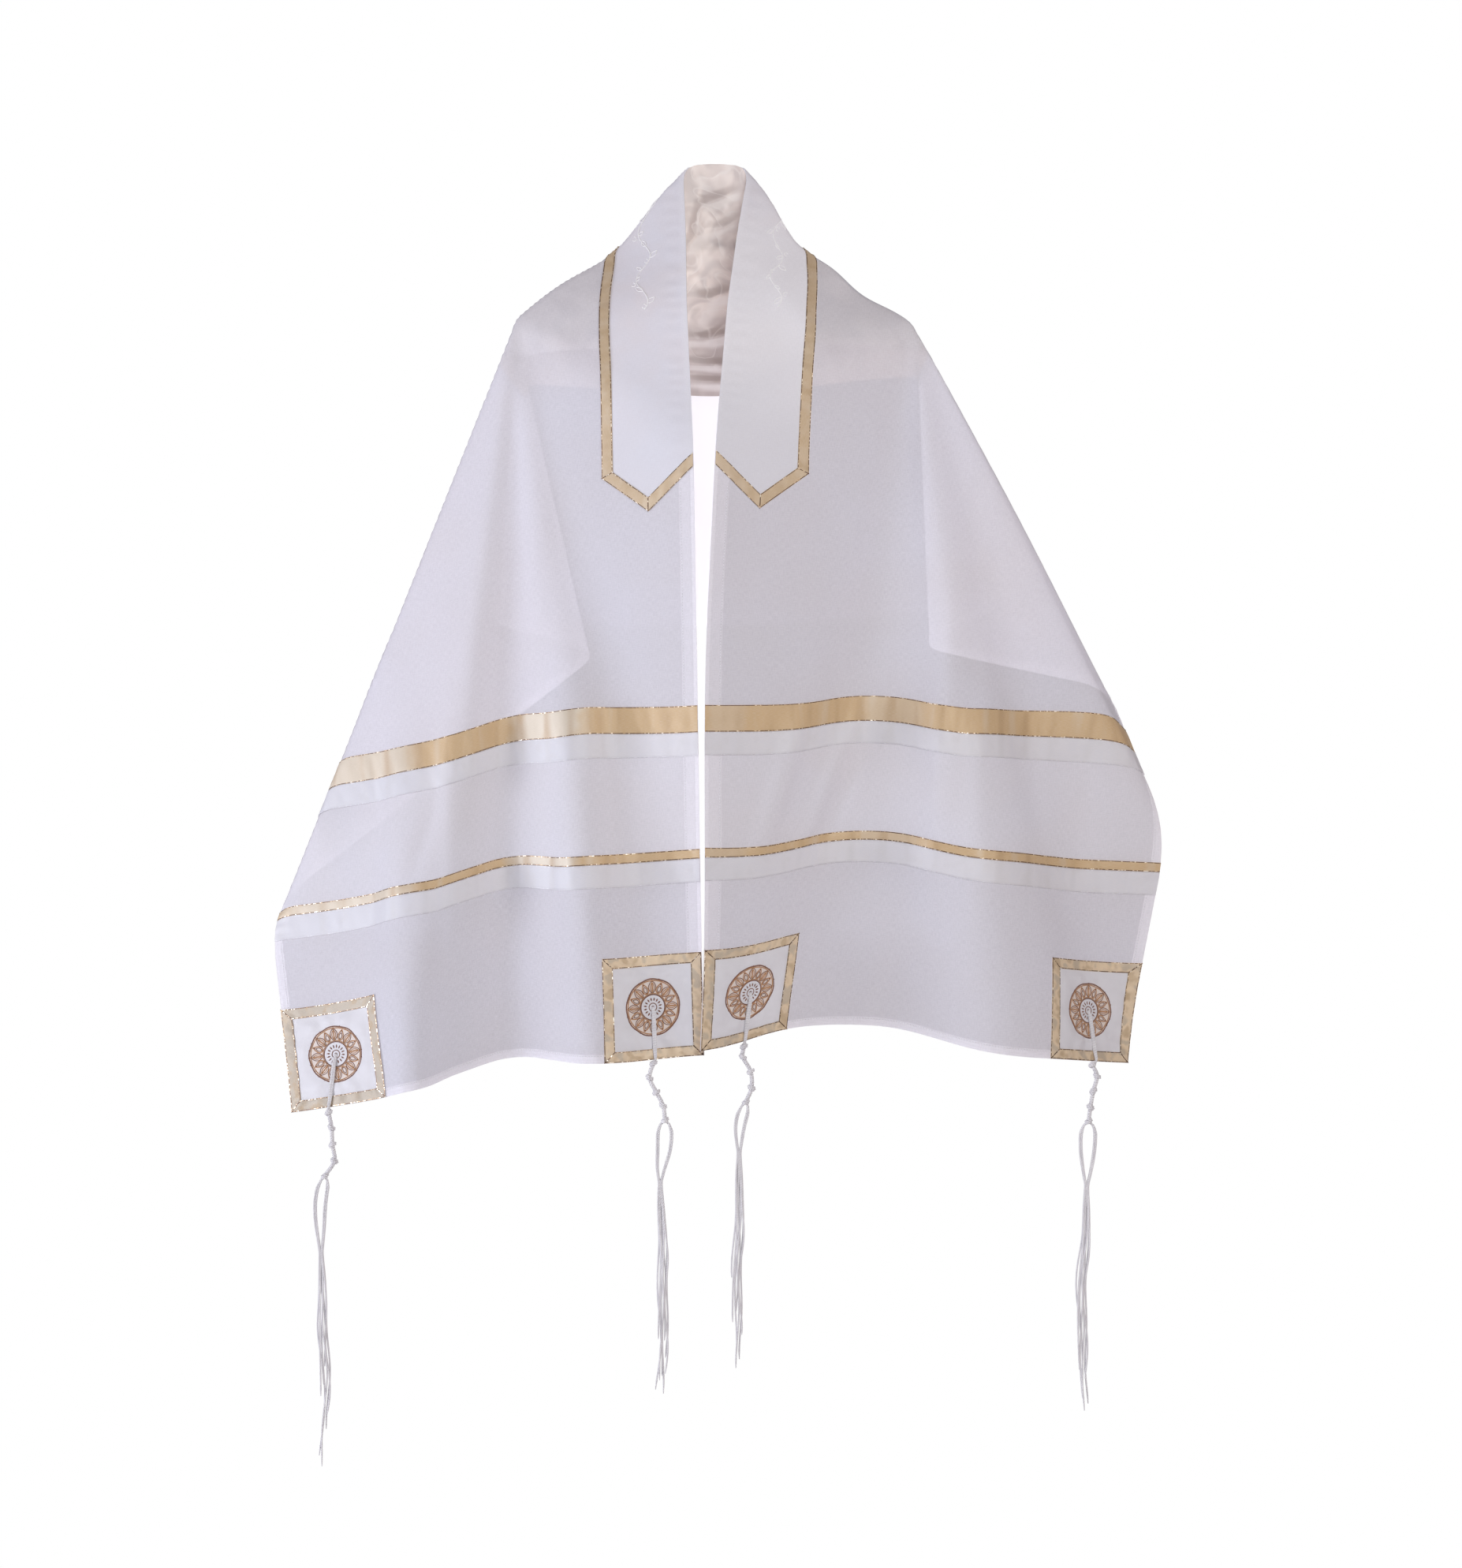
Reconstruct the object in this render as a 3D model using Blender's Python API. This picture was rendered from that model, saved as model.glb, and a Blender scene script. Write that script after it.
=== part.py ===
"""A woman's prayer shawl (tallit) in its worn form: one long cloth over the neck and shoulders.

The cut cloth is measured two ways. ACROSS runs from the neck edge (0) to the outer edge.
ALONG runs from the centre back (0) to the end of either front, and is negative on the -X side.

Worn, the cloth hangs from the two shoulder points. Each half is a fan of flat facets round
its shoulder point, as in folded paper: a ray of the cut cloth keeps straight, and the facets
meet along the rays in the table of that side. The worn surface is this folded shape, averaged
over a small disc of cloth round each point, which turns every crease into a soft fold.

Every sewn piece is a set of cells of one grid on that surface, given a thickness, so pieces
that lie on each other share their points. Metres, +Z up, the fronts face -Y, and the origin
is where the wearer's shoulders carry it, between the two shoulder points.
"""

import bpy
import numpy as np

# The cut cloth
CLOTH_WIDTH = 0.500
CLOTH_HALF = 1.015

# The fronts hang this far apart, and the parting reaches this far into each
FRONT_GAP = 0.0024
FRONT_GAP_REACH = 0.03

# Edges turn sharp between faces that meet at more than this
SHARP_ANGLE = np.radians(50)

# Layers, measured from the middle of the cloth, outwards
CLOTH_FACE = 0.0006
SEAM_GAP = 0.0003
PANEL_GAP = 0.0006
TRIM_THICKNESS = 0.0010
TRIM_INSIDE = CLOTH_FACE + SEAM_GAP
TRIM_OUTSIDE = TRIM_INSIDE + TRIM_THICKNESS
EDGING_INSIDE = TRIM_OUTSIDE + SEAM_GAP
EDGING_OUTSIDE = EDGING_INSIDE + TRIM_THICKNESS

# Trims on each front: their upper edge ALONG and their width
WIDE_GOLD_AT, WIDE_GOLD_WIDTH = 0.6526, 0.0280
WIDE_WHITE_AT, WIDE_WHITE_WIDTH = 0.6809, 0.0240
NARROW_GOLD_AT, NARROW_GOLD_WIDTH = 0.8010, 0.0100
NARROW_WHITE_AT, NARROW_WHITE_WIDTH = 0.8113, 0.0241
NARROW_WHITE_END = NARROW_WHITE_AT + NARROW_WHITE_WIDTH
BAND_SEAM = WIDE_GOLD_AT + WIDE_GOLD_WIDTH / 2
END_SEAM = NARROW_GOLD_AT + NARROW_GOLD_WIDTH / 2
BAND_SEAM_SIDES = (BAND_SEAM - PANEL_GAP / 2, BAND_SEAM + PANEL_GAP / 2)
END_SEAM_SIDES = (END_SEAM - PANEL_GAP / 2, END_SEAM + PANEL_GAP / 2)

# Corner patches, neckband and neck lining
PATCH_SIZE = 0.107
EDGING_WIDTH = 0.011
NECKBAND_WIDTH = 0.092
NECKBAND_END = 0.403
NECKBAND_TIP = 0.041
NECKBAND_EDGING_RISE = 0.015
LINING_WIDTH = 0.250
LINING_END = 0.259

# Knotted tassels
CORD_HALF_WIDTH = 0.0015
CORD_LIFT = SEAM_GAP + CORD_HALF_WIDTH + 0.0010
KNOT_HALF_WIDTH = 0.0029
HEAD_DROP = 0.0030
HEAD_HEIGHT = 0.0030
STRAND_WIDTH = 0.0012
STRAND_PITCH = 0.0019
STRAND_LANES = 4
STRAND_ROWS = 2
STRAND_RINGS = 10

# The shoulder point on the cut cloth (ACROSS, ALONG) and where it hangs
LEFT_POINT, LEFT_SHOULDER = (0.180, 0.215), (-0.215, 0.0, 0.004)
RIGHT_POINT, RIGHT_SHOULDER = (0.190, 0.225), (0.213, 0.0, 0.002)
TIP_SOFTNESS = 0.008

# The disc of cloth that softens the folds. Columns: ring, as a share of its radius, points, turn
DISC_RINGS = ((0.0, 1, 0.0), (0.45, 6, 0.0), (0.85, 12, 0.5))

# Rays in order round the shoulder point. Columns: the ray's far end on the cut cloth (ACROSS,
# ALONG), where that end hangs (X, Y, Z), and the softness of its fold for each metre of ray.
LEFT_RAYS = (
    ("neck centre", 0.000, 0.000, 0.001, 0.030, 0.174, 0.06),
    ("neck corner", 0.000, 0.034, -0.033, 0.030, 0.175, 0.04),
    ("lapel", 0.000, 0.200, -0.028, -0.045, 0.015, 0.10),
    ("breast", 0.000, 0.382, -0.020, -0.100, -0.148, 0.10),
    ("front edge", 0.000, 0.616, -0.016, -0.100, -0.382, 0.08),
    ("front corner", 0.000, 1.015, -0.010, -0.095, -0.781, 0.06),
    ("first fold out", 0.115, 1.015, -0.120, -0.124, -0.790, 0.06),
    ("second fold in", 0.228, 1.015, -0.215, -0.056, -0.785, 0.06),
    ("third fold out", 0.335, 1.015, -0.306, -0.112, -0.815, 0.06),
    ("patch side", 0.393, 1.015, -0.346, -0.092, -0.826, 0.05),
    ("outer corner", 0.500, 1.015, -0.449, -0.030, -0.850, 0.04),
    ("side fold", 0.500, 0.800, -0.482, 0.022, -0.634, 0.03),
    ("pleat in", 0.500, 0.361, -0.125, 0.045, -0.356, 0.05),
    ("pleat out", 0.500, 0.249, -0.250, 0.075, -0.320, 0.05),
    ("hem centre", 0.500, 0.000, 0.000, 0.080, -0.326, 0.15),
    ("neck centre", 0.000, 0.000, 0.001, 0.030, 0.174, 0.06),
)
RIGHT_RAYS = (
    ("neck centre", 0.000, 0.000, 0.001, 0.030, 0.174, 0.06),
    ("neck corner", 0.000, 0.034, 0.037, 0.030, 0.175, 0.04),
    ("lapel", 0.000, 0.200, 0.0135, -0.045, 0.015, 0.10),
    ("breast", 0.000, 0.369, 0.0016, -0.100, -0.133, 0.10),
    ("front edge", 0.000, 0.616, -0.0107, -0.104, -0.382, 0.08),
    ("front corner", 0.000, 1.015, -0.010, -0.120, -0.778, 0.06),
    ("first fold in", 0.120, 1.015, 0.093, -0.050, -0.754, 0.07),
    ("first rise", 0.215, 1.015, 0.185, -0.050, -0.754, 0.07),
    ("second fold out", 0.330, 1.015, 0.288, -0.112, -0.780, 0.06),
    ("patch side", 0.393, 1.015, 0.354, -0.092, -0.786, 0.05),
    ("outer corner", 0.500, 1.015, 0.438, -0.008, -0.799, 0.04),
    ("side fold", 0.500, 0.7675, 0.490, 0.010, -0.552, 0.03),
    ("side turn", 0.500, 0.600, 0.430, 0.040, -0.398, 0.03),
    ("pleat in", 0.500, 0.404, 0.222, 0.045, -0.349, 0.05),
    ("pleat out", 0.500, 0.310, 0.3127, 0.075, -0.305, 0.05),
    ("hem centre", 0.500, 0.000, 0.000, 0.080, -0.326, 0.15),
    ("neck centre", 0.000, 0.000, 0.001, 0.030, 0.174, 0.06),
)

# Soft dips and swells on top of the folds. Columns: the middle on the cut cloth (ACROSS,
# ALONG), the radius, and how far the cloth moves there (X, Y, Z).
SWELLS = (
    ("left neck slope", 0.085, -0.120, 0.060, 0.008, 0.000, -0.013),
    ("right neck slope", 0.080, 0.110, 0.055, -0.012, 0.000, -0.017),
    ("right shoulder slope", 0.145, 0.175, 0.045, -0.008, 0.000, -0.011),
    ("left band", 0.115, -0.660, 0.080, 0.000, 0.000, 0.008),
    ("right band, inner", 0.100, 0.660, 0.080, 0.000, 0.000, 0.004),
    ("right band, outer", 0.400, 0.660, 0.110, -0.006, 0.000, 0.012),
    ("left patch, inner side", 0.385, -1.030, 0.080, 0.010, 0.000, 0.000),
    ("right patch, inner side", 0.107, 1.020, 0.080, -0.006, 0.000, 0.000),
)

# Grid lines ACROSS: at the neckband, at the corner patches
COLUMNS = (
    (0.000, 0.000),
    (0.011, EDGING_WIDTH),
    (0.028, 0.030),
    (0.046, 0.0535),
    (0.064, 0.075),
    (NECKBAND_WIDTH - EDGING_WIDTH, PATCH_SIZE - EDGING_WIDTH),
    (NECKBAND_WIDTH, PATCH_SIZE),
    (0.120, 0.125),
    (0.150, 0.150),
    (0.180, 0.180),
    (0.213, 0.213),
    (LINING_WIDTH, 0.250),
    (0.285, 0.285),
    (0.320, 0.320),
    (0.355, 0.355),
    (CLOTH_WIDTH - PATCH_SIZE,) * 2,
    (CLOTH_WIDTH - PATCH_SIZE + EDGING_WIDTH,) * 2,
    (0.430, 0.430),
    (0.459, 0.459),
    (CLOTH_WIDTH - EDGING_WIDTH,) * 2,
    (CLOTH_WIDTH,) * 2,
)
# Between these places ALONG the columns slide from the first to the second
COLUMNS_SLIDE = (0.45, 0.85)
TIP_COLUMN = 3
NECKBAND_COLUMNS = (0, 6)
INNER_PATCH_COLUMNS = (0, 6)
OUTER_PATCH_COLUMNS = (15, 20)
LINING_COLUMNS = (0, 11)
ALL_COLUMNS = (0, 20)

# Grid lines ALONG one half, and how much of the neckband's point each one follows
ROWS = (
    *((along, 0.0) for along in (0.0, 0.04, 0.075, 0.098, 0.113, 0.128, 0.143, 0.160)),
    *((along, 0.0) for along in (0.180, 0.205, 0.225, 0.243)),
    *((along, 0.0) for along in (LINING_END, 0.275, 0.291, 0.307, 0.323, 0.339, 0.355, 0.371)),
    (NECKBAND_END - NECKBAND_EDGING_RISE, 1.0),
    (NECKBAND_END, 1.0),
    (0.425, 0.8),
    (0.450, 0.5),
    (0.480, 0.2),
    *((along, 0.0) for along in (0.51, 0.54, 0.57, 0.60, 0.628)),
    (WIDE_GOLD_AT, 0.0),
    (BAND_SEAM_SIDES[0], 0.0),
    (BAND_SEAM_SIDES[1], 0.0),
    (WIDE_GOLD_AT + WIDE_GOLD_WIDTH, 0.0),
    (WIDE_WHITE_AT, 0.0),
    (WIDE_WHITE_AT + WIDE_WHITE_WIDTH, 0.0),
    (0.735, 0.0),
    (0.770, 0.0),
    (NARROW_GOLD_AT, 0.0),
    (END_SEAM_SIDES[0], 0.0),
    (END_SEAM_SIDES[1], 0.0),
    (NARROW_GOLD_AT + NARROW_GOLD_WIDTH, 0.0),
    (NARROW_WHITE_AT, 0.0),
    (NARROW_WHITE_END, 0.0),
    (0.870, 0.0),
    (CLOTH_HALF - PATCH_SIZE, 0.0),
    (CLOTH_HALF - PATCH_SIZE + EDGING_WIDTH, 0.0),
    (CLOTH_HALF - PATCH_SIZE / 2, 0.0),
    (CLOTH_HALF - EDGING_WIDTH, 0.0),
    (CLOTH_HALF, 0.0),
)

# Tassels. "across" is where the cord leaves the eyelet and where it crosses the hem. Below the
# hem, "knots" and then "strands" are places sideways and down from there. "loop" is how far the
# strands bow apart and down to where, and "ends" is how far down each strand reaches.
TASSELS = {
    "tassel_left_outer": {
        "across": (0.4465, 0.4585),
        "side": -1,
        "knots": ((0.000, 0.006), (0.003, 0.022), (0.004, 0.040), (0.006, 0.057), (-0.004, 0.073)),
        "strands": ((-0.009, 0.105), (-0.008, 0.155), (-0.006, 0.225), (-0.004, 0.295), (-0.009, 0.380)),
        "loop": (0.0036, 0.152),
        "ends": (0.305, 0.197, 0.379, 0.326, 0.293, 0.368, 0.274, 0.340),
    },
    "tassel_left_inner": {
        "across": (0.0535, 0.0535),
        "side": -1,
        "knots": ((-0.002, 0.004), (-0.006, 0.019), (0.001, 0.034), (0.008, 0.048), (0.010, 0.063)),
        "strands": ((0.009, 0.092), (0.005, 0.128), (0.008, 0.205), (0.008, 0.265), (0.006, 0.345)),
        "loop": (0.0052, 0.126),
        "ends": (0.289, 0.332, 0.291, 0.325, 0.342, 0.328, 0.346, 0.309),
    },
    "tassel_right_inner": {
        "across": (0.0535, 0.0510),
        "side": 1,
        "knots": ((-0.001, 0.005), (-0.002, 0.016), (0.006, 0.031), (0.007, 0.048), (0.001, 0.063)),
        "strands": ((-0.005, 0.088), (-0.006, 0.116), (-0.006, 0.188), (-0.008, 0.250), (-0.009, 0.340)),
        "loop": (0.0032, 0.114),
        "ends": (0.292, 0.266, 0.340, 0.305, 0.246, 0.325, 0.281, 0.331),
    },
    "tassel_right_outer": {
        "across": (0.4465, 0.4545),
        "side": 1,
        "knots": ((-0.004, 0.004), (0.001, 0.016), (-0.003, 0.032), (-0.006, 0.049), (-0.008, 0.064)),
        "strands": ((-0.009, 0.092), (-0.010, 0.132), (-0.011, 0.182), (-0.015, 0.245), (-0.014, 0.370)),
        "loop": (0.0058, 0.130),
        "ends": (0.327, 0.357, 0.370, 0.336, 0.288, 0.352, 0.317, 0.363),
    },
}

# Where each kind of piece lies: its inner and outer face, measured outwards from the cloth's middle
CLOTH_LAYER = (-CLOTH_FACE, CLOTH_FACE)
TRIM_LAYER = (TRIM_INSIDE, TRIM_OUTSIDE)
LINING_LAYER = (-TRIM_OUTSIDE, -TRIM_INSIDE)
EDGING_LAYER = (EDGING_INSIDE, EDGING_OUTSIDE)

# The pieces across each front. Columns: name, from and to ALONG, layer, material
FRONT_PIECES = (
    ("band_panel", BAND_SEAM_SIDES[1], END_SEAM_SIDES[0], CLOTH_LAYER, "band_voile"),
    ("end_panel", END_SEAM_SIDES[1], CLOTH_HALF, CLOTH_LAYER, "voile"),
    ("wide_gold_ribbon", WIDE_GOLD_AT, WIDE_GOLD_AT + WIDE_GOLD_WIDTH, TRIM_LAYER, "gold_ribbon"),
    ("wide_white_ribbon", WIDE_WHITE_AT, WIDE_WHITE_AT + WIDE_WHITE_WIDTH, TRIM_LAYER, "white_ribbon"),
    ("narrow_gold_ribbon", NARROW_GOLD_AT, NARROW_GOLD_AT + NARROW_GOLD_WIDTH, TRIM_LAYER, "gold_ribbon"),
    ("narrow_white_ribbon", NARROW_WHITE_AT, NARROW_WHITE_END, TRIM_LAYER, "white_ribbon"),
)

# Red, green, blue and roughness
FINISHES = {
    "voile": (0.80, 0.79, 0.86, 0.75),
    "band_voile": (0.86, 0.85, 0.91, 0.70),
    "neckband_cloth": (0.85, 0.83, 0.87, 0.65),
    "gold_ribbon": (0.72, 0.56, 0.33, 0.40),
    "white_ribbon": (0.88, 0.86, 0.90, 0.50),
    "lining_satin": (0.86, 0.80, 0.77, 0.35),
    "patch_cloth": (0.90, 0.88, 0.91, 0.60),
    "tassel_thread": (0.80, 0.79, 0.82, 0.80),
}


def clear_scene():
    for thing in list(bpy.data.objects):
        bpy.data.objects.remove(thing, do_unlink=True)


def material(name):
    found = bpy.data.materials.get(name)
    if found:
        return found
    made = bpy.data.materials.new(name)
    made.use_nodes = True
    shader = made.node_tree.nodes["Principled BSDF"]
    red, green, blue, roughness = FINISHES[name]
    shader.inputs["Base Color"].default_value = (red, green, blue, 1.0)
    shader.inputs["Roughness"].default_value = roughness
    return made


def fan(point, shoulder, rays):
    """Turns a table of rays into flat angles, worn directions (for each metre) and softness."""
    table = np.array([row[1:] for row in rays])
    flat = table[:, :2] - point
    reach = np.hypot(flat[:, 0], flat[:, 1])
    return {
        "point": np.array(point),
        "shoulder": np.array(shoulder),
        "angle": np.unwrap(np.arctan2(flat[:, 0], flat[:, 1])),
        "way": (table[:, 2:5] - shoulder) / reach[:, None],
        "softness": table[:, 5],
    }


LEFT_FAN = fan(LEFT_POINT, LEFT_SHOULDER, LEFT_RAYS)
RIGHT_FAN = fan(RIGHT_POINT, RIGHT_SHOULDER, RIGHT_RAYS)


def folded(half, across, along):
    """The folded-paper place of points of one half, and the radius that softens them.

    Between two rays the facet is flat, so a point is its distance from the shoulder point
    times a mix of the two rays' directions, weighted by the sines of the angles to them.
    """
    aside = across - half["point"][0]
    ahead = along - half["point"][1]
    reach = np.hypot(aside, ahead)
    first = half["angle"][0]
    turn = (np.arctan2(aside, ahead) - first) % (2 * np.pi) + first
    ray = np.clip(np.searchsorted(half["angle"], turn, side="right") - 1, 0, len(half["angle"]) - 2)
    before = turn - half["angle"][ray]
    after = half["angle"][ray + 1] - turn
    spread = np.sin(before + after)
    way = half["way"][ray] * (np.sin(after) / spread)[..., None]
    way = way + half["way"][ray + 1] * (np.sin(before) / spread)[..., None]
    share = before / (before + after)
    softness = half["softness"][ray] * (1 - share) + half["softness"][ray + 1] * share
    return half["shoulder"] + reach[..., None] * way, TIP_SOFTNESS + reach * softness


def folded_both(across, along):
    left, left_radius = folded(LEFT_FAN, across, -along)
    right, right_radius = folded(RIGHT_FAN, across, along)
    is_left = along < 0
    return np.where(is_left[..., None], left, right), np.where(is_left, left_radius, right_radius)


def disc_points():
    """A unit disc sampled on its rings."""
    points = []
    for ring, count, offset in DISC_RINGS:
        turns = 2 * np.pi * (np.arange(count) + offset) / count
        points.extend(zip(ring * np.cos(turns), ring * np.sin(turns)))
    return points


def worn(across, along):
    """Where points of the cut cloth hang: the folded shape averaged over a disc, plus swells."""
    across, along = np.broadcast_arrays(np.asarray(across, float), np.asarray(along, float))
    _, radius = folded_both(across, along)
    disc = disc_points()
    total = np.zeros(across.shape + (3,))
    for aside, ahead in disc:
        total += folded_both(across + aside * radius, along + ahead * radius)[0]
    place = total / len(disc)
    for _, middle_across, middle_along, size, *move in SWELLS:
        away = ((across - middle_across) ** 2 + (along - middle_along) ** 2) / size**2
        place += np.exp(-away)[..., None] * move
    parting = np.exp(-((across / FRONT_GAP_REACH) ** 2)) * FRONT_GAP / 2
    place[..., 0] += np.sign(along) * parting
    return place


def outward(across, along, step=0.002):
    """Unit normals of the worn surface, towards the outside of the shawl."""
    down = worn(across, along + step) - worn(across, along - step)
    out = worn(across + step, along) - worn(across - step, along)
    normal = np.cross(down, out)
    return normal / np.linalg.norm(normal, axis=-1, keepdims=True)


def side_fold_end(rays):
    return next(np.array(row[1:3]) for row in rays if row[0] == "side fold")


def follow_side_fold(across, along, point, end):
    """Slides the grid point nearest the side fold onto it in each row, and its neighbours half
    as far, so that the outline there is a straight run of edges and not a row of steps."""
    way = np.clip((along - point[1]) / (end[1] - point[1]), 0.0, 1.0)
    fold = point[0] + way * (end[0] - point[0])
    for row in np.nonzero((way > 0.1) & (fold < across[:, -2]))[0]:
        nearest = int(np.argmin(np.abs(across[row] - fold[row])))
        slide = fold[row] - across[row, nearest]
        across[row, nearest - 1 : nearest + 2] += slide * np.array([0.5, 1.0, 0.5])


def grid():
    """The flat places (ACROSS, ALONG) of the grid's points, rows by columns, end to end.

    The columns slide from their places at the neckband to those at the patches, the rows near
    the neckband's ends bend to its point, and points near a side fold slide onto it, so that
    each sewn edge and both side folds are grid lines.
    """
    half = np.array(ROWS)
    along = np.concatenate([-half[:0:-1, 0], half[:, 0]])
    follow = np.concatenate([half[:0:-1, 1], half[:, 1]])
    columns = np.array(COLUMNS)
    share = np.interp(np.abs(along), COLUMNS_SLIDE, (0.0, 1.0))[:, None]
    across = columns[:, 0] * (1 - share) + columns[:, 1] * share
    follow_side_fold(across, -along, LEFT_POINT, side_fold_end(LEFT_RAYS))
    follow_side_fold(across, along, RIGHT_POINT, side_fold_end(RIGHT_RAYS))
    tip = columns[TIP_COLUMN, 0]
    rise = np.clip(1 - np.abs(columns[:, 0] - tip) / tip, 0.0, 1.0) * NECKBAND_TIP
    return across, along[:, None] + np.sign(along)[:, None] * follow[:, None] * rise


def row_at(along):
    """The index of the grid row at this place ALONG."""
    half = [place for place, _ in ROWS]
    nearest = int(np.argmin(np.abs(np.array(half) - abs(along))))
    return len(half) - 1 + (nearest if along > 0 else -nearest)


def block(rows, columns):
    """A mask of grid cells between two places ALONG and two columns."""
    cells = np.zeros((2 * len(ROWS) - 2, len(COLUMNS) - 1), bool)
    first, last = sorted(row_at(place) for place in rows)
    cells[first:last, columns[0] : columns[1]] = True
    return cells


def frame(cells):
    """The outermost ring of cells of a rectangular block."""
    rows, columns = np.nonzero(cells)
    ring = cells.copy()
    ring[rows.min() + 1 : rows.max(), columns.min() + 1 : columns.max()] = False
    return ring


def add_object(name, points, faces, finish):
    mesh = bpy.data.meshes.new(name)
    mesh.from_pydata(np.asarray(points).tolist(), [], [tuple(map(int, face)) for face in faces])
    mesh.update()
    mesh.shade_smooth()
    mesh.set_sharp_from_angle(angle=SHARP_ANGLE)
    thing = bpy.data.objects.new(name, mesh)
    bpy.context.scene.collection.objects.link(thing)
    mesh.materials.append(material(finish))
    return thing


def add_cloth_piece(name, cells, layer, finish, surface):
    """Makes the masked cells into a closed wall between two distances from the surface."""
    middle, normal = surface
    rows, columns = np.nonzero(cells)
    corners = np.stack(
        [
            np.stack([rows, columns], 1),
            np.stack([rows + 1, columns], 1),
            np.stack([rows + 1, columns + 1], 1),
            np.stack([rows, columns + 1], 1),
        ],
        1,
    )
    ids = corners[..., 0] * middle.shape[1] + corners[..., 1]
    used, compact = np.unique(ids, return_inverse=True)
    quads = compact.reshape(ids.shape)
    count = len(used)
    flat_middle = middle.reshape(-1, 3)[used]
    flat_normal = normal.reshape(-1, 3)[used]
    points = np.concatenate([flat_middle + flat_normal * layer[1], flat_middle + flat_normal * layer[0]])
    # The diagonal runs down and out on both halves, along the side folds.
    is_left = (rows < len(ROWS) - 1)[:, None]
    slash = np.concatenate([quads[:, [0, 1, 2]], quads[:, [0, 2, 3]]], 1)
    backslash = np.concatenate([quads[:, [0, 1, 3]], quads[:, [1, 2, 3]]], 1)
    outer = np.where(is_left, backslash, slash).reshape(-1, 3)
    edges = np.concatenate([outer[:, [0, 1]], outer[:, [1, 2]], outer[:, [2, 0]]])
    keys = edges[:, 0] * count + edges[:, 1]
    rim = edges[~np.isin(keys, edges[:, 1] * count + edges[:, 0])]
    # The side walls of two neighbours at a seam are cut along matching diagonals.
    start, end = rim[:, 0], rim[:, 1]
    rising = np.stack([end, start, start + count, end, start + count, end + count], 1)
    falling = np.stack([end, start, end + count, start, start + count, end + count], 1)
    walls = np.where((start < end)[:, None], rising, falling).reshape(-1, 3)
    inner = outer[:, ::-1] + count
    return add_object(name, points, np.concatenate([outer, inner, walls]), finish)


def smooth_path(points, steps):
    """A Catmull-Rom curve through the points, sampled evenly between them."""
    points = np.array(points, float)
    ends = np.concatenate([[2 * points[0] - points[1]], points, [2 * points[-1] - points[-2]]])
    places = np.linspace(0, len(points) - 1, steps)
    first = np.minimum(places.astype(int), len(points) - 2)
    part = (places - first)[:, None]
    a, b, c, d = (ends[first + k] for k in range(4))
    curve = 2 * b + (c - a) * part + (2 * a - 5 * b + 4 * c - d) * part**2
    return (curve + (3 * b - a - 3 * c + d) * part**3) / 2


def square_rings(path, half_width):
    """Square rings round a path, four points each, with two sides level and facing -Y and +Y."""
    tangent = np.gradient(path, axis=0)
    tangent /= np.linalg.norm(tangent, axis=1, keepdims=True)
    aside = np.cross(tangent, (0.0, 1.0, 0.0))
    aside /= np.linalg.norm(aside, axis=1, keepdims=True)
    ahead = np.cross(tangent, aside)
    corners = np.array([(1, 1), (-1, 1), (-1, -1), (1, -1)])
    ring = corners[:, :1, None] * aside + corners[:, 1:, None] * ahead
    return (path + ring * half_width[:, None]).transpose(1, 0, 2)


def ring_walls(rings):
    """The four-sided faces between each ring of point numbers and the next one down."""
    return [
        (above[side], above[(side + 1) % 4], below[(side + 1) % 4], below[side])
        for above, below in zip(rings[:-1], rings[1:])
        for side in range(4)
    ]


def tassel_cord(spec):
    """The cord's middle line from the eyelet over the hem and through the knots, and its
    half width, which bulges at each knot. Also the point where it leaves the hem."""
    way = np.linspace(0.0, 1.0, 4)
    across = spec["across"][0] * (1 - way) + spec["across"][1] * way
    along = spec["side"] * (CLOTH_HALF - PATCH_SIZE / 2 * (1 - way))
    lift = np.where(way < 0.5, TRIM_OUTSIDE, EDGING_OUTSIDE) + CORD_LIFT
    over_patch = worn(across, along) + outward(across, along) * lift[:, None]
    hem = over_patch[-1]
    knots = [hem + (aside, 0.0, -down) for aside, down in spec["knots"]]
    middle = smooth_path([*over_patch, *knots], 1 + 3 * (len(over_patch) + len(knots) - 1))
    half_width = np.full(len(middle), CORD_HALF_WIDTH)
    half_width[-1::-3][: len(knots)] = KNOT_HALF_WIDTH
    return middle, half_width, hem


def strand_places(spec, hem, root, lane, row, end):
    """The middle line of one hanging strand, with level rings from the head's underside."""
    table = np.array([(aside, down) for aside, down in spec["strands"]])
    line = smooth_path([root, *(hem + np.stack([table[:, 0], 0 * table[:, 0], -table[:, 1]], 1))], 60)
    loop_width, loop_end = spec["loop"]
    drop = np.linspace(hem[2] - root[2], end, STRAND_RINGS)
    in_loop = np.clip((drop - drop[0]) / (loop_end - drop[0]), 0.0, 1.0)
    opening = loop_width * np.sin(np.pi * in_loop**0.7) ** 0.8
    places = np.empty((STRAND_RINGS, 3))
    places[:, 0] = np.interp(drop, hem[2] - line[:, 2], line[:, 0])
    places[:, 0] += lane * STRAND_PITCH + np.sign(lane) * opening
    places[:, 1] = root[1] + row * STRAND_PITCH
    places[:, 2] = hem[2] - drop
    return places


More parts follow.
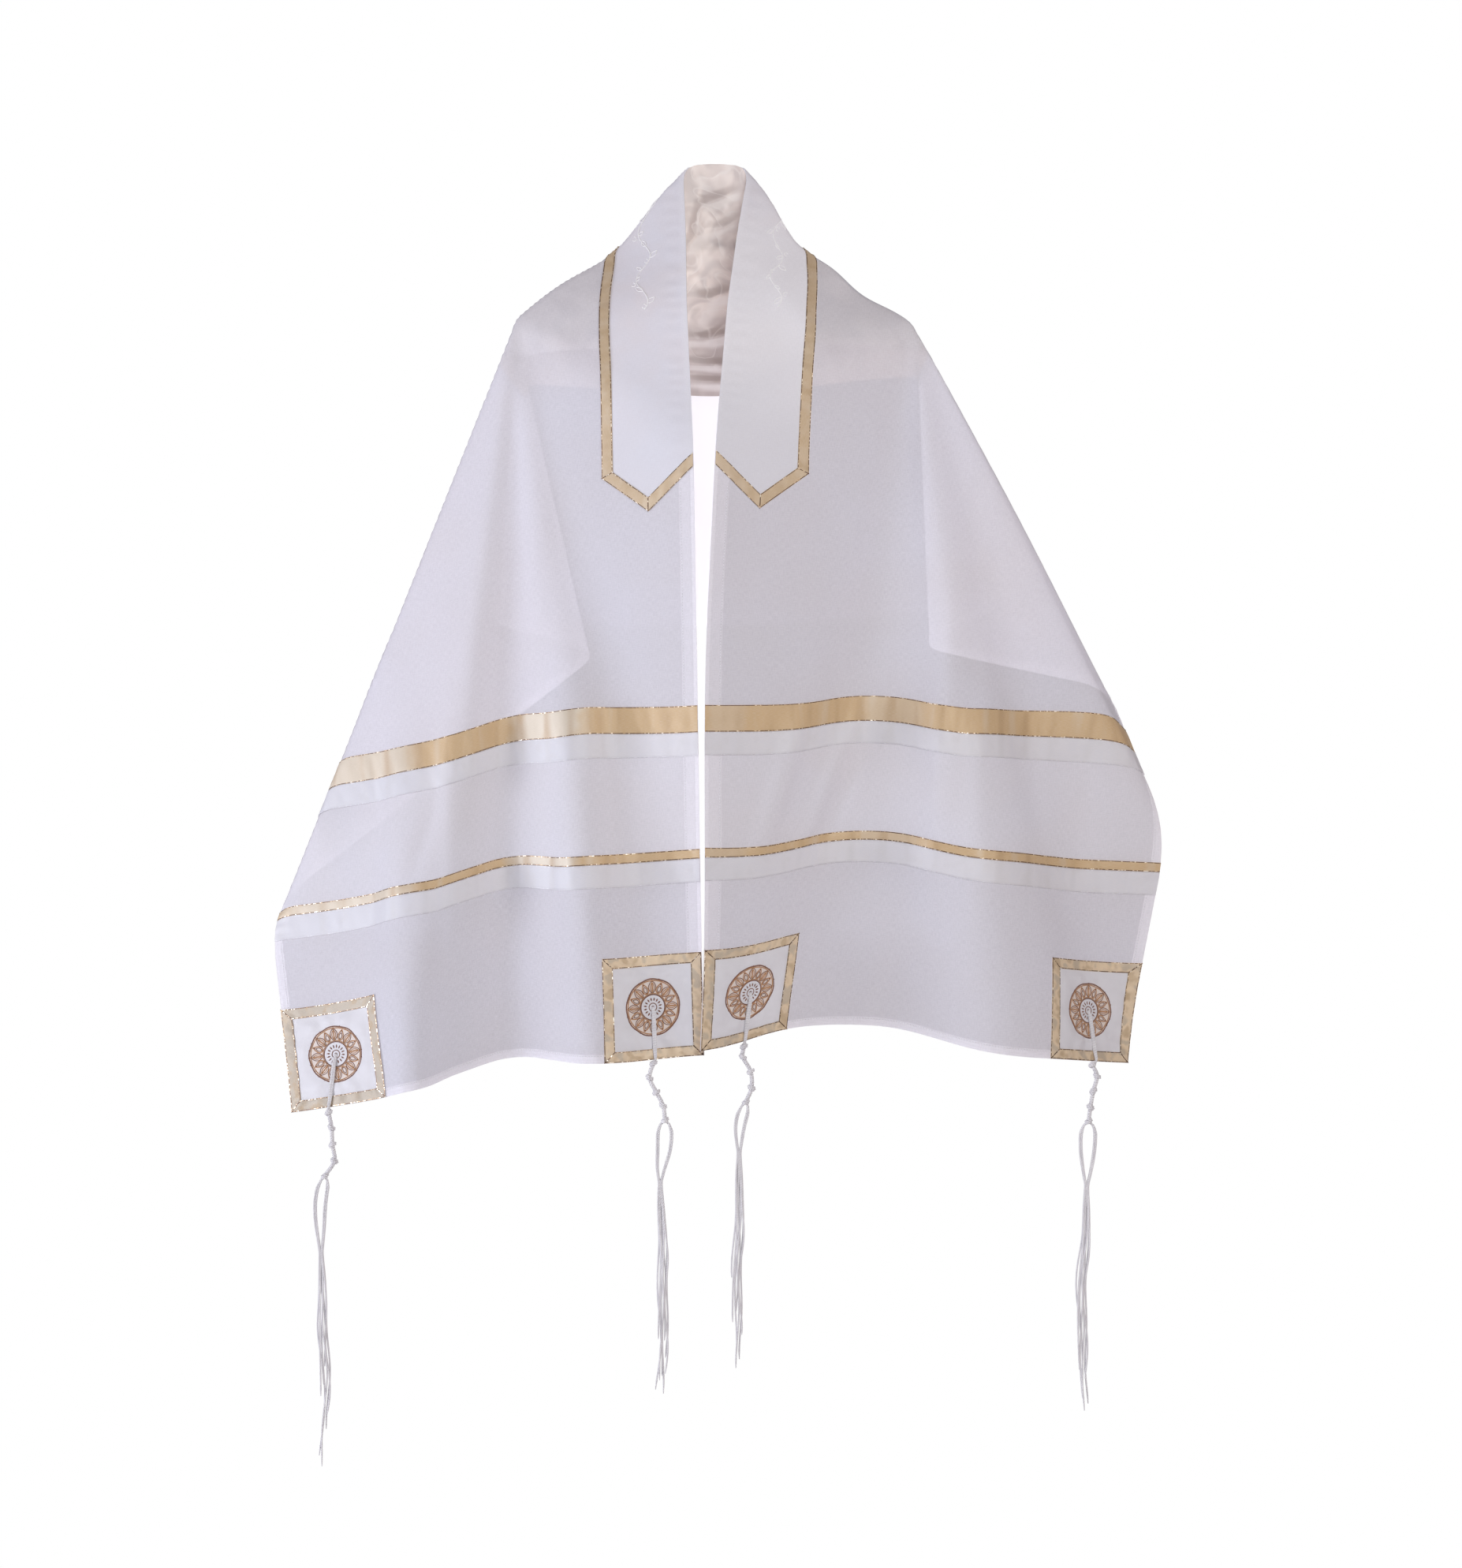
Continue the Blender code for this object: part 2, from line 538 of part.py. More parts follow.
def make_tassel(name, spec):
    """One closed tassel: a knotted cord, a head under its last knot, and the strands.

    The head's underside is a grid of cells. The cells in even rows and columns are the roots
    of the strands, which are drawn down from there, and the cells between them close it.
    """
    middle, half_width, hem = tassel_cord(spec)
    root = middle[-1] - (0.0, 0.0, HEAD_DROP + HEAD_HEIGHT)
    half = STRAND_WIDTH / 2
    lanes = np.arange(STRAND_LANES) - (STRAND_LANES - 1) / 2
    rows = np.arange(STRAND_ROWS) - (STRAND_ROWS - 1) / 2
    lines_x = root[0] + (lanes[:, None] * STRAND_PITCH + (-half, half)).ravel()
    lines_y = root[1] + (rows[:, None] * STRAND_PITCH + (-half, half)).ravel()
    cord = square_rings(middle, half_width)
    left, right, front, back = lines_x[0], lines_x[-1], lines_y[0], lines_y[-1]
    top = root[2] + HEAD_HEIGHT
    head_top = [(right, front, top), (left, front, top), (left, back, top), (right, back, top)]
    points = [*cord.reshape(-1, 3), *head_top]
    rings = np.arange(len(points)).reshape(-1, 4).tolist()
    faces = [tuple(rings[0][::-1]), *ring_walls(rings)]

    grid_start = len(points)
    points.extend((x, y, root[2]) for y in lines_y for x in lines_x)
    ids = np.arange(grid_start, len(points)).reshape(len(lines_y), len(lines_x))
    edges = [ids[0], ids[::-1, 0], ids[-1, ::-1], ids[:, -1]]
    for side, edge in enumerate(edges):
        faces.append((rings[-1][side], rings[-1][(side + 1) % 4], *edge.tolist()))

    for row in range(len(lines_y) - 1):
        for column in range(len(lines_x) - 1):
            cell = (ids[row, column], ids[row + 1, column], ids[row + 1, column + 1], ids[row, column + 1])
            cell = [int(corner) for corner in cell]
            if row % 2 or column % 2:
                faces.append(tuple(cell))
                continue
            lane, rank = column // 2, row // 2
            end = spec["ends"][rank * STRAND_LANES + lane]
            places = strand_places(spec, hem, root, lanes[lane], rows[rank], end)
            corners = np.array([(-half, -half, 0), (-half, half, 0), (half, half, 0), (half, -half, 0)])
            start = len(points)
            points.extend((places[1:, None] + corners).reshape(-1, 3))
            strand = np.arange(start, len(points)).reshape(-1, 4).tolist()
            faces.extend(ring_walls([cell, *strand]))
            faces.append(tuple(strand[-1]))
    return add_object(name, points, faces, "tassel_thread")


def sew(name, rows, columns, layer, finish, surface):
    """One piece between two places ALONG and two columns."""
    add_cloth_piece(name, block(rows, columns), layer, finish, surface)


def make_neck(surface):
    """The neckband, its ribbon on every side but the neck edge, and the lining inside."""
    band = (-NECKBAND_END, NECKBAND_END)
    sew("neckband", band, NECKBAND_COLUMNS, TRIM_LAYER, "neckband_cloth", surface)
    ribbon = frame(block(band, NECKBAND_COLUMNS))
    inner_rows = np.nonzero(ribbon.any(1))[0][1:-1]
    ribbon[inner_rows, 0] = False
    add_cloth_piece("neckband_ribbon", ribbon, EDGING_LAYER, "gold_ribbon", surface)
    lining = (-LINING_END, LINING_END)
    sew("neck_lining", lining, LINING_COLUMNS, LINING_LAYER, "lining_satin", surface)


def make_front(side, sign, surface):
    """The lower panels, bands and corner patches of one front."""
    for name, first, last, layer, finish in FRONT_PIECES:
        sew(f"{name}_{side}", (sign * first, sign * last), ALL_COLUMNS, layer, finish, surface)
    rows = (sign * (CLOTH_HALF - PATCH_SIZE), sign * CLOTH_HALF)
    for place, columns in (("inner", INNER_PATCH_COLUMNS), ("outer", OUTER_PATCH_COLUMNS)):
        name = f"{side}_{place}"
        sew(f"patch_{name}", rows, columns, TRIM_LAYER, "patch_cloth", surface)
        ribbon = frame(block(rows, columns))
        add_cloth_piece(f"patch_ribbon_{name}", ribbon, EDGING_LAYER, "gold_ribbon", surface)


def main():
    clear_scene()
    across, along = grid()
    surface = worn(across, along), outward(across, along)
    centre = (-BAND_SEAM_SIDES[0], BAND_SEAM_SIDES[0])
    sew("centre_panel", centre, ALL_COLUMNS, CLOTH_LAYER, "voile", surface)
    make_neck(surface)
    make_front("left", -1, surface)
    make_front("right", 1, surface)
    for name, spec in TASSELS.items():
        make_tassel(name, spec)


if __name__ == "__main__":
    main()
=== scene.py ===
"""The looks of a woman's prayer shawl (tallit) in its worn form.

Places on the cut cloth are (ACROSS, ALONG): ACROSS from the neck edge to the outer edge, ALONG
from the centre back to the ends, negative on the -X side. `worn` carries them to the worn
form: the folded form of the solids, with somewhat crisper folds low down. Every piece is a
grid on that form given a thickness, or thin cords that lie on it. Metres, +Z up, and the
fronts face -Y.
"""

import bpy
import numpy as np
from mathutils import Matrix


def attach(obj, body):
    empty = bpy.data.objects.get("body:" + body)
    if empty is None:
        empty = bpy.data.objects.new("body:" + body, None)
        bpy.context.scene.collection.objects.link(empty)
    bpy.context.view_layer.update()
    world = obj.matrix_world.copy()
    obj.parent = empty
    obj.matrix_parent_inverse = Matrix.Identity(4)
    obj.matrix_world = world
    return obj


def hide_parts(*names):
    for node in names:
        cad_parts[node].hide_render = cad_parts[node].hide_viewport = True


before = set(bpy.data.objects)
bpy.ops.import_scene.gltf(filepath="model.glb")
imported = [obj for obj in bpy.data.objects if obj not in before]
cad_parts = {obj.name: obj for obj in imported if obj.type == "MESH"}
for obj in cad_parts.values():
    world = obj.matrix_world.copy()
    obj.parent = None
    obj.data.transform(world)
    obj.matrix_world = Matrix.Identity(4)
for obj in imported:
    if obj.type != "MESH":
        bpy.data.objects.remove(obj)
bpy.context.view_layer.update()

# ---------------------------------------------------------------- sizes of the cut cloth
CLOTH_WIDTH = 0.500
CLOTH_HALF = 1.015

# The fronts hang this far apart, and the parting reaches this far into each
FRONT_GAP = 0.0024
FRONT_GAP_REACH = 0.03

# Ribbons on each front: their upper and lower edge ALONG. Panels are sewn under the gold ones
WIDE_GOLD = (0.6526, 0.6806)
WIDE_WHITE = (0.6809, 0.7049)
NARROW_GOLD = (0.8010, 0.8110)
NARROW_WHITE = (0.8113, 0.8354)
SEAM_HALF = 0.0003
BAND_SEAM = sum(WIDE_GOLD) / 2
END_SEAM = sum(NARROW_GOLD) / 2

# Corner patches, neckband and lining. The edging stands this far up from the neckband's end
PATCH_SIZE = 0.107
EDGING_WIDTH = 0.011
NECKBAND_WIDTH = 0.092
NECKBAND_END = 0.403
NECKBAND_TIP = 0.041
NECKBAND_EDGING_RISE = 0.015
LINING_WIDTH = 0.250
LINING_END = 0.259

# Hems: how wide the cloth is doubled at the front edges and at the others, where it turns over
# at its very edge, and the ripples that the sewing leaves along it
HEM_FRONT = 0.015
HEM_SIDE = 0.009
TURNED_EDGE = 0.0008
HEM_RIPPLE = 0.0165

# Layers, measured outwards from the cloth's middle: how far off both faces of the cloth are, and
# then the inner and the outer face of what lies on it
CLOTH_FACE = 0.0003
TRIM_LAYER = (0.0005, 0.0009)
EDGING_LAYER = (0.0011, 0.0015)
LINING_LAYER = (-0.0009, -0.0005)

# The furthest that grid lines lie apart: in the panels, ribbons, lining, neckband and patches
PANEL_PITCH = 0.005
RIBBON_PITCH = 0.0028
LINING_PITCH = 0.0036
NECKBAND_PITCH_ACROSS, NECKBAND_PITCH_ALONG = 0.0033, 0.0034
PATCH_PITCH = 0.0019

# The shoulder point on the cut cloth (ACROSS, ALONG) and where it hangs
LEFT_POINT, LEFT_SHOULDER = (0.180, 0.215), (-0.215, 0.0, 0.004)
RIGHT_POINT, RIGHT_SHOULDER = (0.190, 0.225), (0.213, 0.0, 0.002)
TIP_SOFTNESS = 0.008

# The disc of cloth that a fold is averaged over, sampled on rings. Columns: the ring's radius as
# a share of the disc's, how many points it has, and its turn as a share of their spacing.
DISC_RINGS = ((0.0, 1, 0.0), (0.45, 6, 0.0), (0.85, 12, 0.5))

# Rays in order once round the shoulder point. Columns: the ray's far end on the cut cloth
# (ACROSS, ALONG), where that end hangs (X, Y, Z), and its fold's softness for each metre of ray.
LEFT_RAYS = (
    ("neck centre", 0.000, 0.000, 0.001, 0.030, 0.174, 0.06),
    ("neck corner", 0.000, 0.034, -0.033, 0.030, 0.175, 0.04),
    ("lapel", 0.000, 0.200, -0.028, -0.045, 0.015, 0.10),
    ("breast", 0.000, 0.382, -0.020, -0.100, -0.148, 0.10),
    ("front edge", 0.000, 0.616, -0.016, -0.100, -0.382, 0.08),
    ("front corner", 0.000, 1.015, -0.010, -0.095, -0.781, 0.06),
    ("first fold out", 0.115, 1.015, -0.120, -0.124, -0.790, 0.038),
    ("second fold in", 0.228, 1.015, -0.215, -0.056, -0.785, 0.038),
    ("third fold out", 0.335, 1.015, -0.306, -0.112, -0.815, 0.045),
    ("patch side", 0.393, 1.015, -0.346, -0.092, -0.826, 0.05),
    ("outer corner", 0.500, 1.015, -0.449, -0.030, -0.850, 0.04),
    ("side fold", 0.500, 0.800, -0.482, 0.022, -0.634, 0.03),
    ("pleat in", 0.500, 0.361, -0.125, 0.045, -0.356, 0.05),
    ("pleat out", 0.500, 0.249, -0.250, 0.075, -0.320, 0.05),
    ("hem centre", 0.500, 0.000, 0.000, 0.080, -0.326, 0.15),
)
RIGHT_RAYS = (
    ("neck centre", 0.000, 0.000, 0.001, 0.030, 0.174, 0.06),
    ("neck corner", 0.000, 0.034, 0.037, 0.030, 0.175, 0.04),
    ("lapel", 0.000, 0.200, 0.0135, -0.045, 0.015, 0.10),
    ("breast", 0.000, 0.369, 0.0016, -0.100, -0.133, 0.10),
    ("front edge", 0.000, 0.616, -0.0107, -0.104, -0.382, 0.08),
    ("front corner", 0.000, 1.015, -0.010, -0.120, -0.778, 0.06),
    ("first fold in", 0.120, 1.015, 0.093, -0.050, -0.754, 0.055),
    ("first rise", 0.215, 1.015, 0.185, -0.050, -0.754, 0.045),
    ("second fold out", 0.330, 1.015, 0.288, -0.112, -0.780, 0.045),
    ("patch side", 0.393, 1.015, 0.354, -0.092, -0.786, 0.05),
    ("outer corner", 0.500, 1.015, 0.438, -0.008, -0.799, 0.04),
    ("side fold", 0.500, 0.7675, 0.490, 0.010, -0.552, 0.03),
    ("side turn", 0.500, 0.600, 0.430, 0.040, -0.398, 0.03),
    ("pleat in", 0.500, 0.404, 0.222, 0.045, -0.349, 0.05),
    ("pleat out", 0.500, 0.310, 0.3127, 0.075, -0.305, 0.05),
    ("hem centre", 0.500, 0.000, 0.000, 0.080, -0.326, 0.15),
)

# Soft dips and swells on top of the folds. Columns: the middle on the cut cloth (ACROSS,
# ALONG), the radius, and how far the cloth moves there (X, Y, Z).
SWELLS = (
    ("left neck slope", 0.085, -0.120, 0.060, 0.008, 0.000, -0.013),
    ("right neck slope", 0.080, 0.110, 0.055, -0.012, 0.000, -0.017),
    ("right shoulder slope", 0.145, 0.175, 0.045, -0.008, 0.000, -0.011),
    ("left band", 0.115, -0.660, 0.080, 0.000, 0.000, 0.008),
    ("right band, inner", 0.100, 0.660, 0.080, 0.000, 0.000, 0.004),
    ("right band, outer", 0.400, 0.660, 0.110, -0.006, 0.000, 0.012),
    ("left patch, inner side", 0.385, -1.030, 0.080, 0.010, 0.000, 0.000),
    ("right patch, inner side", 0.107, 1.020, 0.080, -0.006, 0.000, 0.000),
)

# Soft creases on the cloth. Columns: from and to on the cut cloth (ACROSS, ALONG), the half
# width, and the height outwards, negative for a trough.
CREASES = (
    ("left neck drag", 0.020, -0.150, 0.140, -0.330, 0.014, 0.0016),
    ("left breast drag", 0.150, -0.300, 0.060, -0.560, 0.020, 0.0022),
    ("left drop", 0.150, -0.420, 0.175, -0.980, 0.016, -0.0024),
    ("left side drop", 0.290, -0.480, 0.290, -0.960, 0.016, 0.0026),
    ("left side dent", 0.360, -0.600, 0.400, -0.900, 0.014, -0.0030),
    ("left band dent", 0.300, -0.700, 0.350, -0.815, 0.010, -0.0026),
    ("left hem kick", 0.165, -0.860, 0.175, -1.030, 0.012, 0.0018),
    ("left third ridge", 0.346, -0.520, 0.380, -1.400, 0.032, 0.0090),
    ("left third trough", 0.286, -0.520, 0.314, -1.400, 0.030, -0.0070),
    ("left first ridge", 0.122, -0.440, 0.120, -1.390, 0.030, 0.0110),
    ("left second trough", 0.222, -0.520, 0.214, -1.400, 0.026, -0.0060),
    ("right neck drag", 0.020, 0.140, 0.150, 0.340, 0.014, 0.0016),
    ("right breast drag", 0.160, 0.300, 0.040, 0.520, 0.020, 0.0024),
    ("right band fold, inner", 0.040, 0.840, 0.096, 0.650, 0.013, 0.0076),
    ("right band fold, second", 0.092, 0.830, 0.158, 0.670, 0.010, 0.0056),
    ("right band fold, third", 0.120, 0.830, 0.185, 0.690, 0.010, -0.0038),
    ("right drop", 0.255, 0.480, 0.250, 0.900, 0.012, 0.0034),
    ("right drop, shade side", 0.285, 0.500, 0.280, 0.880, 0.014, -0.0024),
    ("right side drop", 0.380, 0.640, 0.400, 0.820, 0.013, 0.0024),
    ("right side dent", 0.420, 0.660, 0.435, 0.840, 0.010, -0.0018),
    ("right hem kick", 0.200, 0.880, 0.190, 1.030, 0.012, 0.0016),
    ("back drop, left", 0.120, -0.090, 0.480, -0.130, 0.018, 0.0026),
    ("back drop, middle", 0.160, 0.010, 0.500, 0.020, 0.020, -0.0024),
    ("back drop, right", 0.120, 0.100, 0.490, 0.150, 0.018, 0.0026),
    ("left sleeve drag", 0.230, -0.260, 0.470, -0.560, 0.018, 0.0024),
    ("right sleeve drag", 0.240, 0.280, 0.470, 0.620, 0.018, 0.0024),
)

# Wrinkles of the satin lining, which stand inwards. Columns as for the creases.
LINING_WRINKLES = (
    ("top arch, left leg", 0.100, -0.032, 0.035, -0.012, 0.006, 0.0034),
    ("top arch, crown", 0.048, -0.022, 0.030, 0.030, 0.006, 0.0040),
    ("second arch", 0.075, -0.010, 0.060, 0.034, 0.005, 0.0030),
    ("hook down", 0.058, 0.012, 0.118, 0.036, 0.006, 0.0036),
    ("middle lean", 0.092, -0.040, 0.062, 0.002, 0.006, 0.0024),
    ("long lean", 0.175, -0.036, 0.130, 0.020, 0.009, 0.0024),
    ("waist roll", 0.146, -0.045, 0.140, 0.038, 0.006, 0.0030),
    ("low roll", 0.192, -0.050, 0.182, 0.044, 0.006, 0.0042),
    ("lower roll", 0.214, -0.055, 0.219, 0.050, 0.005, 0.0036),
    ("hem roll", 0.233, -0.048, 0.238, 0.052, 0.005, 0.0034),
    ("left run", 0.060, -0.070, 0.200, -0.110, 0.010, 0.0034),
    ("left roll", 0.120, -0.060, 0.150, -0.180, 0.009, 0.0030),
    ("left dip", 0.215, -0.080, 0.180, -0.200, 0.009, 0.0030),
    ("right run", 0.050, 0.066, 0.190, 0.105, 0.010, 0.0034),
    ("right roll", 0.110, 0.070, 0.140, 0.190, 0.009, 0.0030),
    ("right dip", 0.205, 0.080, 0.175, 0.200, 0.009, 0.0030),
)

# Tassels. "across" is where the cord leaves the eyelet and where it crosses the hem. Below the
# hem, "knots" and then "strands" are places sideways and down from there. "loop" is how far the
# strands bow apart and down to where, and "ends" is how far down each strand reaches.
TASSELS = {
    "left_outer": {
        "across": (0.4465, 0.4585),
        "side": -1,
        "knots": ((0.000, 0.006), (0.003, 0.022), (0.004, 0.040), (0.006, 0.057), (-0.004, 0.073)),
        "strands": ((-0.009, 0.105), (-0.008, 0.155), (-0.006, 0.225), (-0.004, 0.295), (-0.009, 0.380)),
        "loop": (0.0036, 0.152),
        "ends": (0.305, 0.197, 0.379, 0.326, 0.293, 0.368, 0.274, 0.340),
    },
    "left_inner": {
        "across": (0.0535, 0.0535),
        "side": -1,
        "knots": ((-0.002, 0.004), (-0.006, 0.019), (0.001, 0.034), (0.008, 0.048), (0.010, 0.063)),
        "strands": ((0.009, 0.092), (0.005, 0.128), (0.008, 0.205), (0.008, 0.265), (0.006, 0.345)),
        "loop": (0.0052, 0.126),
        "ends": (0.289, 0.332, 0.291, 0.325, 0.342, 0.328, 0.346, 0.309),
    },
    "right_inner": {
        "across": (0.0535, 0.0510),
        "side": 1,
        "knots": ((-0.001, 0.005), (-0.002, 0.016), (0.006, 0.031), (0.007, 0.048), (0.001, 0.063)),
        "strands": ((-0.005, 0.088), (-0.006, 0.116), (-0.006, 0.188), (-0.008, 0.250), (-0.009, 0.340)),
        "loop": (0.0032, 0.114),
        "ends": (0.292, 0.266, 0.340, 0.305, 0.246, 0.325, 0.281, 0.331),
    },
    "right_outer": {
        "across": (0.4465, 0.4545),
        "side": 1,
        "knots": ((-0.004, 0.004), (0.001, 0.016), (-0.003, 0.032), (-0.006, 0.049), (-0.008, 0.064)),
        "strands": ((-0.009, 0.092), (-0.010, 0.132), (-0.011, 0.182), (-0.015, 0.245), (-0.014, 0.370)),
        "loop": (0.0058, 0.130),
        "ends": (0.327, 0.357, 0.370, 0.336, 0.288, 0.352, 0.317, 0.363),
    },
}

# Threads and knots of the tassels, the eyelet that they come through, and the thread that
# edges a ribbon: half its width and half its height
THREAD_RADIUS = 0.0010
KNOT_RADIUS = 0.0034
KNOT_THREAD_RADIUS = 0.0011
CORD_RADIUS = 0.0013
CORD_LAY = 0.011
EYELET = 0.0032
EDGE_THREAD = (0.00036, 0.00028)

# The rosette on the corner patches
RING_OUTER = 0.0288
RING_INNER = 0.0130
PETALS = 8


# ---------------------------------------------------------------- the worn form
def fan(point, shoulder, rays):
    """Turns a table of rays into flat angles, worn directions (for each metre) and softness.
    The first ray is also the last, a full turn further."""
    table = np.array([row[1:] for row in (*rays, rays[0])])
    flat = table[:, :2] - point
    reach = np.hypot(flat[:, 0], flat[:, 1])
    return {
        "point": np.array(point),
        "shoulder": np.array(shoulder),
        "angle": np.unwrap(np.arctan2(flat[:, 0], flat[:, 1])),
        "way": (table[:, 2:5] - shoulder) / reach[:, None],
        "softness": table[:, 5],
    }


LEFT_FAN = fan(LEFT_POINT, LEFT_SHOULDER, LEFT_RAYS)
RIGHT_FAN = fan(RIGHT_POINT, RIGHT_SHOULDER, RIGHT_RAYS)


def folded(half, across, along):
    """The folded-paper place of points of one half, and the radius that softens them.

    Between two rays the facet is flat, so a point is its distance from the shoulder point
    times a mix of the two rays' directions, weighted by the sines of the angles to them.
    """
    aside = across - half["point"][0]
    ahead = along - half["point"][1]
    reach = np.hypot(aside, ahead)
    first = half["angle"][0]
    turn = (np.arctan2(aside, ahead) - first) % (2 * np.pi) + first
    ray = np.clip(np.searchsorted(half["angle"], turn, side="right") - 1, 0, len(half["angle"]) - 2)
    before = turn - half["angle"][ray]
    after = half["angle"][ray + 1] - turn
    spread = np.sin(before + after)
    way = half["way"][ray] * (np.sin(after) / spread)[..., None]
    way = way + half["way"][ray + 1] * (np.sin(before) / spread)[..., None]
    share = before / (before + after)
    softness = half["softness"][ray] * (1 - share) + half["softness"][ray + 1] * share
    return half["shoulder"] + reach[..., None] * way, TIP_SOFTNESS + reach * softness


def folded_both(across, along):
    """What `folded` gives for the half that each point is on."""
    left, left_radius = folded(LEFT_FAN, across, -along)
    right, right_radius = folded(RIGHT_FAN, across, along)
    is_left = along < 0
    return np.where(is_left[..., None], left, right), np.where(is_left, left_radius, right_radius)


def disc_points():
    """A unit disc sampled on its rings."""
    points = []
    for ring, count, offset in DISC_RINGS:
        turns = 2 * np.pi * (np.arange(count) + offset) / count
        points.extend(zip(ring * np.cos(turns), ring * np.sin(turns)))
    return points


def worn(across, along):
    """Where points of the cut cloth hang: the folded shape averaged over a disc, plus swells."""
    across, along = np.broadcast_arrays(np.asarray(across, float), np.asarray(along, float))
    _, radius = folded_both(across, along)
    disc = disc_points()
    total = np.zeros(across.shape + (3,))
    for aside, ahead in disc:
        total += folded_both(across + aside * radius, along + ahead * radius)[0]
    place = total / len(disc)
    for _, middle_across, middle_along, size, *move in SWELLS:
        away = ((across - middle_across) ** 2 + (along - middle_along) ** 2) / size**2
        place += np.exp(-away)[..., None] * move
    parting = np.exp(-((across / FRONT_GAP_REACH) ** 2)) * FRONT_GAP / 2
    place[..., 0] += np.sign(along) * parting
    return place


def outward(across, along, step=0.002):
    """Unit normals of the worn form, towards the outside of the shawl."""
    down = worn(across, along + step) - worn(across, along - step)
    out = worn(across + step, along) - worn(across - step, along)
    normal = np.cross(down, out)
    return normal / np.linalg.norm(normal, axis=-1, keepdims=True)


def creased(across, along, creases):
    """The height of a table of creases. Each is its height times a bell of the distance to
    its line, exp(-(distance / width)^2), and fades to both ends as sin(pi * way)."""
    height = np.zeros(np.shape(across))
    for _, from_across, from_along, to_across, to_along, width, rise in creases:
        line = np.array([to_across - from_across, to_along - from_along])
        length = np.hypot(*line)
        way = ((across - from_across) * line[0] + (along - from_along) * line[1]) / length**2
        aside = ((across - from_across) * line[1] - (along - from_along) * line[0]) / length
        fade = np.sin(np.pi * np.clip(way, 0.0, 1.0))
        height += rise * fade * np.exp(-((aside / width) ** 2))
    return height


def drifting(run, ripple, *drifts):
    """The phase of ripples of this length along a run, with slow sines (size, rate) added."""
    phase = 2 * np.pi * run / ripple
    for size, rate in drifts:
        phase = phase + size * np.sin(run * rate)
    return phase


def hem_pucker(across, along):
    """Small ripples along the hems: a sine along the edge with a drifting phase, times a bell
    of the distance to the hem's inner edge."""
    height = np.zeros(np.shape(across))
    # Columns: the distance to the hem's inner edge, the run along it, the bell's width, height
    hems = (
        (across - HEM_FRONT, along, 0.009, 0.00035),
        (across - (CLOTH_WIDTH - HEM_SIDE), along, 0.008, 0.00040),
        (np.abs(along) - (CLOTH_HALF - HEM_SIDE), across, 0.008, 0.00045),
    )
    for distance, run, width, rise in hems:
        phase = drifting(run, HEM_RIPPLE, (1.7, 61.0), (1.1, 23.0))
        height += rise * np.sin(phase) * np.exp(-((distance / width) ** 2))
    return height


def surface(across, along):
    """The creased cloth's middle and its unit normals."""
    across, along = np.broadcast_arrays(np.asarray(across, float), np.asarray(along, float))
    normal = outward(across, along)
    height = creased(across, along, CREASES) + hem_pucker(across, along)
    return worn(across, along) + normal * height[..., None], normal


# ---------------------------------------------------------------- building shapes
# An edge of cloth or of thread that turns by more degrees than this is shaded as sharp
CLOTH_SHARP, THREAD_SHARP = 40.0, 70.0

# A shape is (points, quads, uv of each corner, mask of each point).


def join(shapes):
    """Several shapes as one."""
    starts = np.cumsum([0] + [len(shape[0]) for shape in shapes[:-1]])
    quads = [shape[1] + start for shape, start in zip(shapes, starts)]
    points, uv, mask = (np.concatenate([shape[k] for shape in shapes]) for k in (0, 2, 3))
    return points, np.concatenate(quads), uv, mask


def wall(across, along, inner, outer, uv=None, inside=0.0):
    """A closed thin wall: a grid of flat places carried to the worn form, at two distances
    along its normal, with the two faces joined round the rim. "inside" masks the inner face."""
    turn = np.gradient(across, axis=0) * np.gradient(along, axis=1)
    turn = turn - np.gradient(along, axis=0) * np.gradient(across, axis=1)
    uv = np.stack([across, along], -1) if uv is None else uv
    inner, outer = (np.broadcast_to(lift, across.shape)[..., None] for lift in (inner, outer))
    if turn.sum() > 0:
        across, along, uv = across[:, ::-1], along[:, ::-1], uv[:, ::-1]
        inner, outer = inner[:, ::-1], outer[:, ::-1]
    place, normal = surface(across, along)
    count = across.size
    points = np.concatenate([(place + normal * lift).reshape(-1, 3) for lift in (outer, inner)])
    ids = np.arange(count).reshape(across.shape)
    front = np.stack([ids[:-1, :-1], ids[1:, :-1], ids[1:, 1:], ids[:-1, 1:]], -1).reshape(-1, 4)
    rim = np.concatenate([ids[:-1, 0], ids[-1, :-1], ids[:0:-1, -1], ids[0, :0:-1]])
    after = np.roll(rim, -1)
    edge = np.stack([after, rim, rim + count, after + count], -1)
    quads = np.concatenate([front, front[:, ::-1] + count, edge])
    flat = np.tile(uv.reshape(-1, 2), (2, 1))
    return points, quads, flat[quads], np.repeat([0.0, inside], count)


